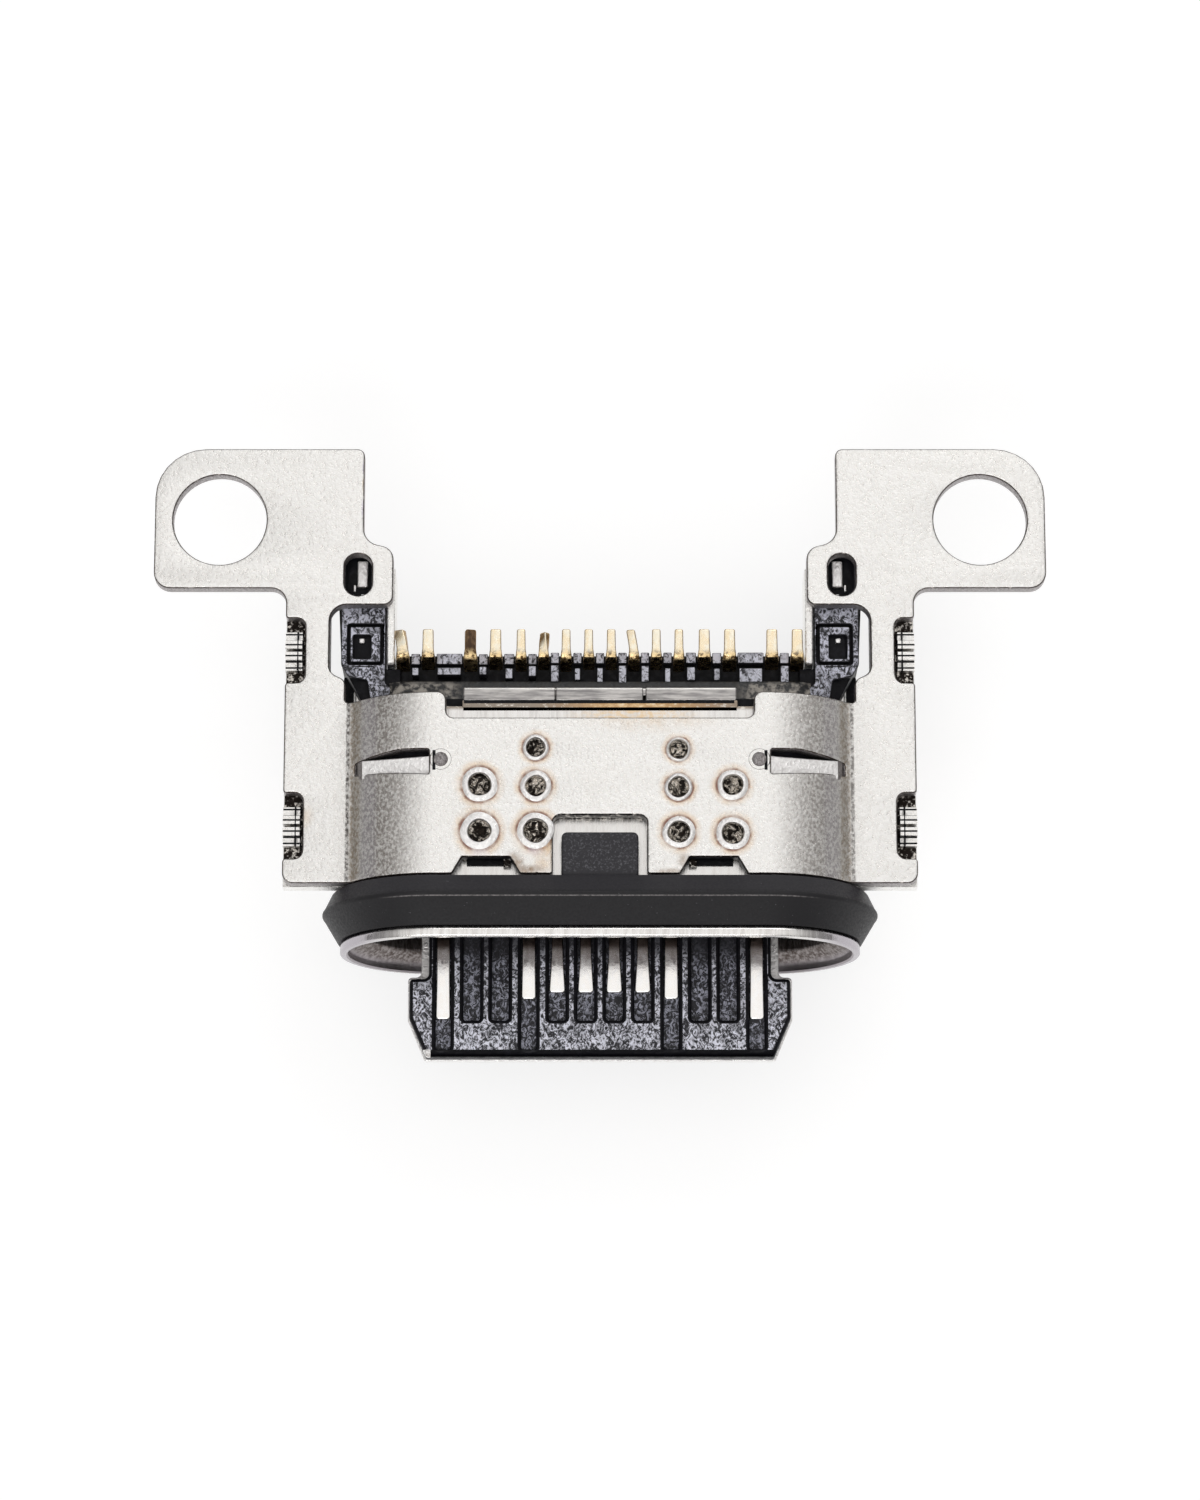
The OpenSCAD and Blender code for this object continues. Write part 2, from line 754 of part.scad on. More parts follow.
// End block under each tab, with a window down to the plate's arm
module end_block() {
    outer = block_half;
    inner = wall_out + housing_gap;
    window = arm_w / 2 + window_gap;
    front_y = rear_y + housing_gap;
    window_y = tab_front_y - window_setback;
    ring_y = tab_front_y - ring_setback;
    difference() {
        union() {
            block([inner, front_y, floor_z], [outer, block_rear_y, block_top_z]);
            block([comb_half - eps, front_y, floor_z],
                  [outer, tab_front_y - wall_len - housing_gap, block_top_z]);
        }
        along_z(-far, far) polygon([[outer - chamfer_w, front_y - eps], [outer + eps, front_y - eps],
                                    [outer + eps, front_y + chamfer_len]]);
        block([arm_x - window, window_y, axis_z], [arm_x + window, window_y + window_len, far]);
        block([arm_x - window, slot_y - arm_end, axis_z], [arm_x + window, slot_y + arm_end + window_gap, far]);
        difference() {
            block([arm_x - ring_out, ring_y, block_top_z - ring_depth],
                  [arm_x + ring_in, ring_y + ring_len, far]);
            block([arm_x - ring_out + ring_w, ring_y + ring_w, -far],
                  [arm_x + ring_in - ring_w, ring_y + ring_len - ring_w, far]);
        }
    }
}

module housing_body() {
    along_y(rim_y + plug_setback, rear_y) stadium(bore_r - housing_gap);
    comb();
    both_sides() end_block();
}

module rear_housing()
    color([0.1, 0.1, 0.11]) difference() {
        housing_body();
        block([-root_half - eps, rim_y, axis_z - root_t / 2 - eps],
              [root_half + eps, rear_y - housing_gap + eps, axis_z + root_t / 2 + eps]);
        along_z(axis_z - plate_t / 2, axis_z + plate_t / 2) plate_outline();
        contact_row(UPPER);
        contact_row(LOWER);
        potting_space();
    }

// ---------------------------------------------------------------- potting and rear shield

module potting_space()
    block([-comb_half + potting_inset, rear_y + shield_t + shield_foot, step_z - potting_drop],
          [comb_half - potting_inset, rear_y + shield_t + potting_len, far]);

module potting()
    color([0.2, 0.2, 0.22])
        block([-comb_half + potting_inset, rear_y + shield_t + shield_foot, step_z - potting_drop],
              [comb_half - potting_inset, rear_y + shield_t + potting_len, step_z - shield_foot]);

// Angled plate behind the inner shell: a short flap on top, a wall down to the comb
module rear_shield() {
    top = axis_z + tube_r;
    flap_y = tube_rear_y + tube_ear_len + shield_flap;
    color("darkgray") difference() {
        union() {
            block([-shield_half, flap_y, top - shield_t], [shield_half, rear_y + shield_t, top]);
            block([-shield_half, rear_y, step_z + shield_foot],
                  [shield_half, rear_y + shield_t, top - shield_t + eps]);
        }
        block([shield_split_x - shield_split_w / 2, flap_y - eps, top - shield_t - shield_split_drop],
              [shield_split_x + shield_split_w / 2, far, top + eps]);
    }
}

mounting_bracket();
lower_shell();
inner_shell();
seal_ring();
upper_wafer();
lower_wafer();
mid_plate();
rear_housing();
potting();
rear_shield();
for (k = USED) {
    color("gold") contact(UPPER, k);
    color("gold") contact(LOWER, k);
}
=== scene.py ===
"""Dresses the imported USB-C socket: finished pieces, procedural materials and a plain studio."""

import math
import random

import bmesh
import bpy
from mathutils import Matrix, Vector


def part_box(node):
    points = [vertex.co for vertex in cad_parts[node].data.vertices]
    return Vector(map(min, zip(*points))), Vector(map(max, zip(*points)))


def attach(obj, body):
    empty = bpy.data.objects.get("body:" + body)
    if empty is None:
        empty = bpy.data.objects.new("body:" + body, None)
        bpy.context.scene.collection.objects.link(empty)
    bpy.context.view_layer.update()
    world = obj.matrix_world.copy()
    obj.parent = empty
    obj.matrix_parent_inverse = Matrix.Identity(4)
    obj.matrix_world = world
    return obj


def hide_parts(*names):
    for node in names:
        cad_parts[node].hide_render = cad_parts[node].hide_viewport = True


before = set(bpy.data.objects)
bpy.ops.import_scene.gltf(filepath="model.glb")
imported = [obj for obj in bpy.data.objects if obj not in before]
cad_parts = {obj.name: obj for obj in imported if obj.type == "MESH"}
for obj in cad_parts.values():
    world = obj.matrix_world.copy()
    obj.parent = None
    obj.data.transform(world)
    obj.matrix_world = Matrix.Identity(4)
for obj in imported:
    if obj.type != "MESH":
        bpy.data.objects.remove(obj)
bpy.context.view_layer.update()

MM = 0.001
UPPER, LOWER = 1, -1
USED = (1, 4, 5, 6, 7, 8, 9, 12)


def box_mm(node):
    """Lowest and highest corner of a CAD node, in millimetres."""
    low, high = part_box(node)
    return Vector(low) / MM, Vector(high) / MM


# -------- stations, from the frame; Y0 is a front and Y1 a rear

_, bracket_hi = box_mm("mounting_bracket")
lower_lo, lower_hi = box_mm("lower_shell")
tube_lo, tube_hi = box_mm("inner_shell")
seal_lo, _ = box_mm("seal_ring")
wafer_lo, wafer_hi = box_mm("upper_wafer")
plate_lo, plate_hi = box_mm("mid_plate")
housing_lo, housing_hi = box_mm("rear_housing")
potting_lo, _ = box_mm("potting")
shield_lo, shield_hi = box_mm("rear_shield")

AXIS_Z = (tube_lo.z + tube_hi.z) / 2
RIM_Y = tube_lo.y
TUBE_T = 0.2
FLARE = 0.22
FLARE_LEN = 0.38
LIP_LEN = 0.12
RIM_T = 0.14
TUBE_R = tube_hi.z - AXIS_Z - FLARE
BORE_R = TUBE_R - TUBE_T
FLAT_HALF = tube_hi.x - TUBE_R - FLARE
TIP_Y = wafer_lo.y
COVER_Y0 = lower_lo.y
COVER_Y1 = shield_hi.y - 0.15
COMB_Y1 = COVER_Y1 + 1.01
TAIL_TIP_Y = COMB_Y1 + 0.38
STRIP_HALF = lower_hi.x
EAR_OUT = bracket_hi.x
EAR_Y1 = bracket_hi.y
SHEET_T = 0.3
HOLE_X = 6.77
HOLE_R = 0.83


# -------- mesh helpers, in millimetres


def arc(cx, cy, r, start, end, steps):
    """Points on an arc, from angle start to angle end in degrees."""
    angles = [math.radians(start + (end - start) * i / steps) for i in range(steps + 1)]
    return [(cx + r * math.cos(a), cy + r * math.sin(a)) for a in angles]


def rounded(corners, steps=7):
    """Closed outline through corners given as (x, y, radius), each corner rounded by its radius."""
    points = []
    for i, (x, y, r) in enumerate(corners):
        here = Vector((x, y))
        before = Vector(corners[i - 1][:2]) - here
        after = Vector(corners[(i + 1) % len(corners)][:2]) - here
        if r <= 0:
            points.append((x, y))
            continue
        a, b = before.normalized(), after.normalized()
        half = a.angle(b) / 2
        reach = min(r / math.tan(half), before.length * 0.49, after.length * 0.49)
        radius = reach * math.tan(half)
        centre = here + (a + b).normalized() * (radius / math.sin(half))
        start, end = here + a * reach - centre, here + b * reach - centre
        turn = math.atan2(start.x * end.y - start.y * end.x, start.dot(end))
        first = math.atan2(start.y, start.x)
        for k in range(steps + 1):
            angle = first + turn * k / steps
            points.append((centre.x + radius * math.cos(angle), centre.y + radius * math.sin(angle)))
    return points


def rect(x0, y0, x1, y1, r=0.0, steps=5):
    """Rectangle outline with one corner radius."""
    return rounded([(x0, y0, r), (x1, y0, r), (x1, y1, r), (x0, y1, r)], steps)


def circle(cx, cy, r, steps):
    return arc(cx, cy, r, 0, 360 * (steps - 1) / steps, steps - 1)


def placed(name, data):
    """New object in the scene."""
    thing = bpy.data.objects.new(name, data)
    bpy.context.collection.objects.link(thing)
    return thing


def plate(outer, holes, z0, z1, edge=0.03):
    """Bmesh of a flat plate between two heights, with every edge of its outline rounded."""
    curve = bpy.data.curves.new("outline", "CURVE")
    curve.dimensions = "2D"
    curve.fill_mode = "BOTH"
    curve.extrude = max((z1 - z0) / 2 - edge, 0)
    curve.bevel_depth = edge
    curve.bevel_resolution = 2
    curve.offset = -edge
    for loop in [outer, *holes]:
        spline = curve.splines.new("POLY")
        spline.points.add(len(loop) - 1)
        for point, (x, y) in zip(spline.points, loop):
            point.co = (x, y, 0, 1)
        spline.use_cyclic_u = True
    holder = placed("outline", curve)
    bpy.context.view_layer.update()
    evaluated = holder.evaluated_get(bpy.context.evaluated_depsgraph_get())
    mesh = bpy.data.meshes.new_from_object(evaluated)
    bm = bmesh.new()
    bm.from_mesh(mesh)
    bpy.data.objects.remove(holder)
    bpy.data.curves.remove(curve)
    bpy.data.meshes.remove(mesh)
    bmesh.ops.remove_doubles(bm, verts=bm.verts, dist=edge * 0.02 + 1e-5)
    for vert in bm.verts:
        vert.co.z += (z0 + z1) / 2
    return outward(bm)


def cut_lines(bm, axis, values):
    """Adds edges where the mesh crosses planes at the values on an axis, so that it can bend there."""
    normal = Vector((0, 0, 0))
    normal[axis] = 1
    for value in values:
        geom = [*bm.verts, *bm.edges, *bm.faces]
        bmesh.ops.bisect_plane(bm, geom=geom, plane_co=normal * value, plane_no=normal, dist=1e-6)


def outward(bm):
    """Turns the faces of a closed mesh outwards."""
    bmesh.ops.recalc_face_normals(bm, faces=bm.faces)
    if bm.calc_volume(signed=True) < 0:
        bmesh.ops.reverse_faces(bm, faces=bm.faces)
    return bm


def reshape(bm, move):
    """Moves each vertex to move(x, y, z)."""
    for vert in bm.verts:
        vert.co = move(*vert.co)
    return outward(bm)


def ring_mesh(rings, cyclic=True):
    """Bmesh that joins rings of points one after another; a run that isn't cyclic gets closed ends."""
    bm = bmesh.new()
    loops = [[bm.verts.new(p) for p in ring] for ring in rings]
    count = len(loops[0])
    last = len(loops) if cyclic else len(loops) - 1
    for i in range(last):
        a, b = loops[i], loops[(i + 1) % len(loops)]
        for k in range(count):
            m = (k + 1) % count
            bm.faces.new((a[k], a[m], b[m], b[k]))
    if not cyclic:
        bm.faces.new(loops[0][::-1])
        bm.faces.new(loops[-1])
    return outward(bm)


def stadium_sweep(profile, arc_steps=40, flat_steps=24):
    """Sweeps a closed (radius, y) profile round the mouth's stadium."""
    stations = []
    for side, first in ((1, -90), (-1, 90)):
        turns = [first + 180 * i / arc_steps for i in range(arc_steps + 1)]
        shares = [1 - 2 * i / flat_steps for i in range(1, flat_steps)]
        stations += [(side * FLAT_HALF, math.radians(turn)) for turn in turns]
        stations += [(side * FLAT_HALF * share, math.radians(first + 180)) for share in shares]
    rings = []
    for x, a in stations:
        rings.append([(x + r * math.cos(a), y, AXIS_Z + r * math.sin(a)) for r, y in profile])
    return ring_mesh(rings)


def lathe(profile, cx, cy, cz, steps, wobble=None):
    """Turns a (radius, height) profile about a vertical line; its ends lie on the axis."""
    bm = bmesh.new()
    columns = []
    for i in range(steps):
        a = 2 * math.pi * i / steps
        column = []
        for r, h in profile[1:-1]:
            rr = r * (1 + (wobble(a, r) if wobble else 0))
            column.append(bm.verts.new((cx + rr * math.cos(a), cy + rr * math.sin(a), cz + h)))
        columns.append(column)
    top = bm.verts.new((cx, cy, cz + profile[0][1]))
    bottom = bm.verts.new((cx, cy, cz + profile[-1][1]))
    for i in range(steps):
        a, b = columns[i], columns[(i + 1) % steps]
        bm.faces.new((top, a[0], b[0]))
        bm.faces.new((bottom, b[-1], a[-1]))
        for k in range(len(a) - 1):
            bm.faces.new((a[k], a[k + 1], b[k + 1], b[k]))
    return outward(bm)


def bar(x0, y0, z0, x1, y1, z1, edge=0.02):
    """Block with rounded upright edges and rounded rims."""
    return plate(rect(x0, y0, x1, y1, edge, 3), [], z0, z1, edge)


def side_bar(side, x0, y0, z0, x1, y1, z1, edge=0.02):
    """Bar on the right, or its twin on the left where side is -1."""
    low, high = sorted((side * x0, side * x1))
    return bar(low, y0, z0, high, y1, z1, edge)


def centre(face):
    return face.calc_center_median()


def paint(bm, index, wanted=lambda face: True):
    """Gives a material index to the faces that wanted(face) picks, or to all."""
    bm.normal_update()
    for face in filter(wanted, bm.faces):
        face.material_index = index
    return bm


def dressed(name, node, parts, materials):
    """Joins parts into one finished piece that stands for a CAD node."""
    mesh = bpy.data.meshes.new(name)
    whole = bmesh.new()
    for part in parts:
        scratch = bpy.data.meshes.new("part")
        part.to_mesh(scratch)
        part.free()
        whole.from_mesh(scratch)
        bpy.data.meshes.remove(scratch)
    bmesh.ops.scale(whole, vec=(MM, MM, MM), verts=whole.verts)
    whole.to_mesh(mesh)
    whole.free()
    mesh.shade_smooth()
    mesh.set_sharp_from_angle(angle=math.radians(38))
    piece = placed(name, mesh)
    for material in materials:
        mesh.materials.append(material)
    normals = piece.modifiers.new("normals", "WEIGHTED_NORMAL")
    normals.keep_sharp = True
    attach(piece, "root")
    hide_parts(node)
    return piece


# -------- material helpers


class Nodes:
    """Short way to build a material's node tree; coordinates are object positions in millimetres."""

    def __init__(self, name):
        self.material = bpy.data.materials.new(name)
        self.material.use_nodes = True
        self.tree = self.material.node_tree
        place = self.tree.nodes.new("ShaderNodeTexCoord")
        self.position = self.vector("MULTIPLY", place.outputs["Object"], (1 / MM,) * 3)
        self.normal = place.outputs["Normal"]

    def put(self, socket, value):
        if isinstance(value, bpy.types.NodeSocket):
            self.tree.links.new(value, socket)
        else:
            socket.default_value = value

    def make(self, kind, *values, **settings):
        """New node, with values or links for its first inputs."""
        node = self.tree.nodes.new("ShaderNode" + kind)
        for name, setting in settings.items():
            setattr(node, name, setting)
        for socket, value in zip(node.inputs, values):
            self.put(socket, value)
        return node

    def fill(self, node, **values):
        """Sets or links a node's inputs by name."""
        for name, value in values.items():
            self.put(node.inputs[name.replace("_", " ")], value)
        return node

    def vector(self, operation, a, b):
        return self.make("VectorMath", a, b, operation=operation).outputs[0]

    def math(self, operation, a, b=0.0):
        return self.make("Math", a, b, operation=operation).outputs[0]

    def times(self, product, *factors):
        for factor in factors:
            product = self.math("MULTIPLY", product, factor)
        return product

    def mix(self, factor, a, b):
        node = self.make("Mix", factor, data_type="RGBA")
        for socket, colour in zip(node.inputs[6:8], (a, b)):
            self.put(socket, colour if isinstance(colour, bpy.types.NodeSocket) else (*colour, 1))
        return node.outputs[2]

    def remap(self, value, low, high, to_low=0.0, to_high=1.0):
        """Smooth step from one value to another between low and high."""
        node = self.make("MapRange", value, low, high, to_low, to_high, interpolation_type="SMOOTHSTEP")
        return node.outputs["Result"]

    def noise(self, scale, detail=3.0, roughness=0.55, stretch=(1, 1, 1), distortion=0.0):
        node = self.make("TexNoise", self.vector("MULTIPLY", self.position, stretch))
        self.fill(node, Scale=scale, Detail=detail, Roughness=roughness, Distortion=distortion)
        return node.outputs["Fac"]

    def axis(self, index):
        return self.make("SeparateXYZ", self.position).outputs[index]

    def off_middle(self):
        return self.math("ABSOLUTE", self.axis(0))

    def along(self, low, high, to_low=0.0, to_high=1.0):
        """Smooth step along Y."""
        return self.remap(self.axis(1), low, high, to_low, to_high)

    def lift(self):
        """How far a face looks up or down: 1 on level faces, 0 on upright ones."""
        return self.math("ABSOLUTE", self.make("SeparateXYZ", self.normal).outputs[2])

    def band(self, value, low, high, soft):
        """1 between two values, with soft ends."""
        rise = self.remap(value, low - soft, low + soft)
        return self.times(rise, self.remap(value, high - soft, high + soft, 1.0, 0.0))

    def near(self, centre, inner, outer, squash=(1, 1, 1)):
        """1 within the inner distance of a point, falling to 0 at the outer distance."""
        shift = self.vector("MULTIPLY", self.vector("SUBTRACT", self.position, centre), squash)
        length = self.make("VectorMath", shift, operation="LENGTH").outputs["Value"]
        return self.remap(length, inner, outer, 1.0, 0.0)

    def bump(self, height, distance, strength):
        """Bump with its distance in millimetres."""
        node = self.fill(self.make("Bump"), Strength=strength, Distance=distance * MM, Height=height)
        return node.outputs["Normal"]

    def surface(self, colour, skin, rough, distance, strength, metal=1.0, gloss=0.5, height=None):
        """Fills the shader: colour, roughness that follows the skin noise between two values, and bump."""
        if isinstance(rough, tuple):
            rough = self.remap(skin, 0.3, 0.7, *rough)
        bump = self.bump(skin if height is None else height, distance, strength)
        shader = self.tree.nodes["Principled BSDF"]
        self.fill(shader, Base_Color=colour, Metallic=metal, Roughness=rough, Normal=bump)
        self.fill(shader, Specular_IOR_Level=gloss)
        return self.material


# -------- places that several pieces share

WELD_Z = AXIS_Z + TUBE_R + 0.02 + SHEET_T
# Centre x and y, radius of the bead and radius of the crater of each weld
WELDS = (
    (-1.12, -4.38, 0.235, 0.165),
    (-1.12, -5.07, 0.28, 0.18),
    (-1.12, -5.87, 0.33, 0.21),
    (-2.10, -5.04, 0.32, 0.20),
    (-2.10, -5.87, 0.345, 0.20),
    (1.37, -4.41, 0.22, 0.17),
    (1.37, -5.09, 0.25, 0.18),
    (1.37, -5.89, 0.29, 0.19),
    (2.31, -5.05, 0.28, 0.18),
    (2.31, -5.91, 0.30, 0.19),
)

SHIELD_Y1 = shield_hi.y
POTTING_Y1 = COMB_Y1 - 0.56
SEAL_CREST_Y = RIM_Y + 0.70
SEAL_LINE_Y = RIM_Y + 0.66
LUG_X = 1.98

ORANGE, BROWN = (0.68, 0.44, 0.20), (0.30, 0.20, 0.12)
PURPLE, LILAC = (0.36, 0.28, 0.52), (0.55, 0.52, 0.72)

# Painted shade and reflection on the cover's shoulders, down to a near-black crease at the fold, by distance
# from the middle: from, to, softness, strength, colour
SHOULDER_SHADE = (
    (3.35, 4.3, 0.5, 0.95, (0.29, 0.26, 0.24)),
    (3.92, 4.18, 0.06, 0.45, (0.40, 0.37, 0.42)),
    (4.22, 4.40, 0.04, 0.65, (0.36, 0.27, 0.17)),
    (4.41, 4.47, 0.015, 0.9, (0.06, 0.05, 0.045)),
)
# Heat rings round the welds, as shares of the bead: inner, outer, strength, colour
HEAT_RINGS = (
    (1.02, 1.55, 0.65, (0.76, 0.53, 0.31)),
    (1.0, 1.17, 1.0, (0.27, 0.15, 0.12)),
)
# Heat marks on the bracket: place, inner and outer distance, squash along each axis, strength, colour
BURNS = (
    ((0.9, RIM_Y + 3.86, WELD_Z), 0.1, 1.2, (0.8, 3.5, 1), 0.35, ORANGE),
    ((-5.35, COVER_Y0 + 1.2, SHEET_T), 0.05, 0.4, (1, 1, 1), 0.6, ORANGE),
    ((-0.95, COVER_Y0 + 0.35, WELD_Z), 0.1, 0.5, (1.6, 1, 1), 0.5, ORANGE),
    ((-1.22, COVER_Y0 + 0.06, WELD_Z), 0.05, 0.4, (1, 3.0, 1), 0.9, BROWN),
    ((1.22, COVER_Y0 + 0.03, WELD_Z), 0.05, 0.35, (1, 3.5, 1), 0.8, BROWN),
    ((-LUG_X + 0.5, COVER_Y0 + 0.22, WELD_Z), 0.02, 0.24, (1, 1, 1), 0.9, BROWN),
    ((LUG_X - 0.5, COVER_Y0 + 0.22, WELD_Z), 0.02, 0.2, (1, 1, 1), 0.8, BROWN),
    ((-2.1, -6.24, WELD_Z), 0.02, 0.22, (1, 1.5, 1), 0.5, LILAC),
    ((-1.12, -6.22, WELD_Z), 0.02, 0.22, (1, 1.5, 1), 0.5, LILAC),
    ((-4.2, 0.97, SHEET_T), 0.02, 0.2, (3.5, 1, 1), 0.8, PURPLE),
    ((-4.2, 0.63, SHEET_T), 0.02, 0.22, (3.5, 1, 1), 0.8, ORANGE),
    ((-4.2, 0.2, SHEET_T), 0.02, 0.26, (3.5, 1, 1), 0.7, PURPLE),
)


# -------- materials


def shade_and_heat(n, colour):
    """Adds painted shade and reflection on the cover's shoulders, lighter on the right, and the heat marks.
    """
    on_cover = n.along(COVER_Y1, COVER_Y1 + 0.1, 1.0, 0.0)
    side_shade_share = n.remap(n.axis(0), -0.1, 0.1, 1.0, 0.82)
    streaks = n.noise(21.0, 3.0, 0.6, stretch=(1.0, 0.8, 1.0))
    # Painted shade and reflection, broken into streaks and lighter on the right side.
    for low, high, soft, amount, shade_tone in SHOULDER_SHADE:
        thin = n.remap(streaks, 0.4, 0.6, amount, 0.35 * amount)
        shade_veil = n.times(n.band(n.off_middle(), low, high, soft), thin, side_shade_share, on_cover)
        colour = n.mix(shade_veil, colour, shade_tone)
    scorch = n.noise(5.0, 3.0)
    for inner, outer, amount, tone in HEAT_RINGS:
        tint = 0.0
        for x, y, bead, _ in WELDS:
            tint = n.math("MAXIMUM", tint, n.near((x, y, WELD_Z), bead * inner, bead * outer))
        colour = n.mix(n.times(tint, n.remap(scorch, 0.35, 0.65, 0.4 * amount, amount)), colour, tone)
    for place, inner, outer, squash, amount, tone in BURNS:
        uneven = n.remap(scorch, 0.3, 0.7, 0.3 * amount, amount)
        colour = n.mix(n.times(n.near(place, inner, outer, squash), uneven), colour, tone)
    return colour


def nickel(name, with_shade_and_heat):
    """Matte nickel plate with a fine grain."""
    n = Nodes(name)
    grain = n.noise(15.0, 5.0, 0.65)
    colour = n.mix(n.remap(grain, 0.36, 0.64), (0.91, 0.895, 0.865), (1.0, 0.99, 0.968))
    colour = n.mix(n.remap(n.noise(1.3, 3.0), 0.5, 0.8, 0.0, 0.12), colour, (0.80, 0.76, 0.69))
    # With shade and heat, the nickel also gets the shoulders' painted shade and reflection and the heat
    # marks.
    return n.surface(shade_and_heat(n, colour) if with_shade_and_heat else colour, grain, (0.24, 0.38), 0.022, 1.0)


def mottled_edge(name, dark, pale, low, high, fineness=13.0):
    """Mottled metal between a dark and a pale colour: on the sheet's rims, cut faces and gaps the dark is
    painted shade and reflection, with bright torn bits; the weld rings are white.
    """
    n = Nodes(name)
    torn = n.noise(fineness, 4.0, 0.7)
    return n.surface(n.mix(n.remap(torn, low, high), dark, pale), torn, (0.45, 0.25), 0.03, 0.8)


def weld_pool():
    """Floor of a laser weld: dark and rippled, with a few painted glints."""
    n = Nodes("weld_pool")
    ripple = n.noise(8.0, 3.0, 0.6, distortion=1.5)
    # Pale spots on the ripple's peaks are painted glints.
    colour = n.mix(n.remap(ripple, 0.46, 0.57), (0.03, 0.024, 0.02), (0.88, 0.82, 0.74))
    return n.surface(colour, ripple, 0.2, 0.12, 1.0)


def shell_inside():
    """Inside of the mouth: brown-grey, streaked along the draw, with painted shade that deepens inwards and
    a lighter painted lilac-grey lip where light reaches.
    """
    n = Nodes("shell_inside")
    streaks = n.noise(10.0, 4.0, 0.65, stretch=(1.6, 0.4, 1.6))
    near_rim = n.mix(n.remap(streaks, 0.35, 0.68), (0.13, 0.105, 0.095), (0.42, 0.385, 0.375))
    # Painted shade deepens inside the mouth; the lip is painted lighter, as lit.
    colour = n.mix(n.along(RIM_Y + 0.05, RIM_Y + 0.95), near_rim, (0.016, 0.014, 0.014))
    lip = n.along(RIM_Y + LIP_LEN - 0.02, RIM_Y + 2 * LIP_LEN, 0.9, 0.0)
    return n.surface(n.mix(lip, colour, (0.42, 0.39, 0.41)), streaks, (0.42, 0.3), 0.02, 0.6)


def shield_steel():
    """Rear plate: grey steel with fine lines along its length and a painted highlight along its rear edge.
    """
    n = Nodes("shield_steel")
    lines = n.noise(16.0, 4.0, 0.6, stretch=(0.12, 1.0, 1.0))
    colour = n.mix(n.remap(lines, 0.3, 0.7), (0.26, 0.25, 0.25), (0.62, 0.60, 0.58))
    # Painted highlight along the rear edge.
    lip = n.along(SHIELD_Y1 - 0.05, SHIELD_Y1 - 0.02, 0.0, 0.8)
    return n.surface(n.mix(lip, colour, (0.85, 0.83, 0.80)), lines, 0.3, 0.015, 0.5)


def bright_steel():
    """Drawn steel with lines along the draw, burnt at its rear edge, with a painted lilac-grey reflection on
    the rim's curved ends.
    """
    n = Nodes("shell_steel")
    lines = n.noise(14.0, 4.0, 0.6, stretch=(1.0, 0.12, 1.0))
    specks = n.noise(9.0, 4.0, 0.7, stretch=(1.0, 2.0, 1.0))
    top = WELD_Z - SHEET_T
    colour = n.mix(n.remap(lines, 0.3, 0.7), (0.70, 0.68, 0.66), (0.90, 0.89, 0.87))
    edge = n.along(RIM_Y + 4.08, RIM_Y + 4.16, 0.0, 0.9)
    rear = n.times(edge, n.along(RIM_Y + 4.26, RIM_Y + 4.3, 1.0, 0.0))
    hot = n.near((0.7, RIM_Y + 4.15, top), 0.3, 1.6, (0.75, 1, 1))
    brown = n.mix(hot, (0.27, 0.22, 0.17), (0.42, 0.22, 0.07))
    brown = n.mix(n.remap(specks, 0.55, 0.66), brown, (0.80, 0.74, 0.66))
    colour = n.mix(rear, colour, brown)
    gilt = n.near((0.6, RIM_Y + 4.0, top), 0.2, 1.3, (0.9, 1.6, 1))
    colour = n.mix(n.times(gilt, n.remap(specks, 0.4, 0.6, 0.15, 0.7)), colour, (0.86, 0.62, 0.34))
    # Painted reflection: lilac grey on the rim's curved ends.
    rim_end_reflection = n.remap(n.off_middle(), 3.4, 4.3, 0.0, 0.85)
    rim_end_reflection = n.times(rim_end_reflection, n.along(RIM_Y + 0.2, RIM_Y + 0.4, 1.0, 0.0))
    return n.surface(n.mix(rim_end_reflection, colour, (0.40, 0.37, 0.41)), lines, (0.16, 0.32), 0.01, 0.4)


def silicone():
    """Black silicone, darker in front of the crest as painted shade; the key is dusty, and a thin painted
    highlight runs along the top of the ring.
    """
    n = Nodes("seal_silicone")
    skin = n.noise(24.0, 3.0)
    dust = n.noise(26.0, 2.0, 0.7)
    on_key = n.along(COVER_Y0, COVER_Y0 + 0.08)
    specks = n.math("MAXIMUM", n.remap(dust, 0.72, 0.78), n.times(on_key, n.remap(dust, 0.5, 0.7, 0.0, 0.5)))
    # Painted shade: darker in front of the crest, lighter behind it.
    behind = n.along(SEAL_CREST_Y, SEAL_CREST_Y + 0.1)
    colour = n.mix(behind, (0.010, 0.0095, 0.0115), (0.026, 0.025, 0.030))
    # Painted highlight along the crest, on the straight runs only.
    line = n.band(n.axis(1), SEAL_LINE_Y - 0.008, SEAL_LINE_Y + 0.008, 0.008)
    inboard = n.remap(n.off_middle(), 3.3, 3.9, 1.0, 0.0)
    worn = n.times(line, n.remap(skin, 0.3, 0.7, 0.2, 0.9), inboard)
    colour = n.mix(specks, n.mix(worn, colour, (0.30, 0.28, 0.28)), (0.17, 0.17, 0.19))
    return n.surface(colour, skin, (0.42, 0.6), 0.01, 0.35, metal=0.0, gloss=0.35)


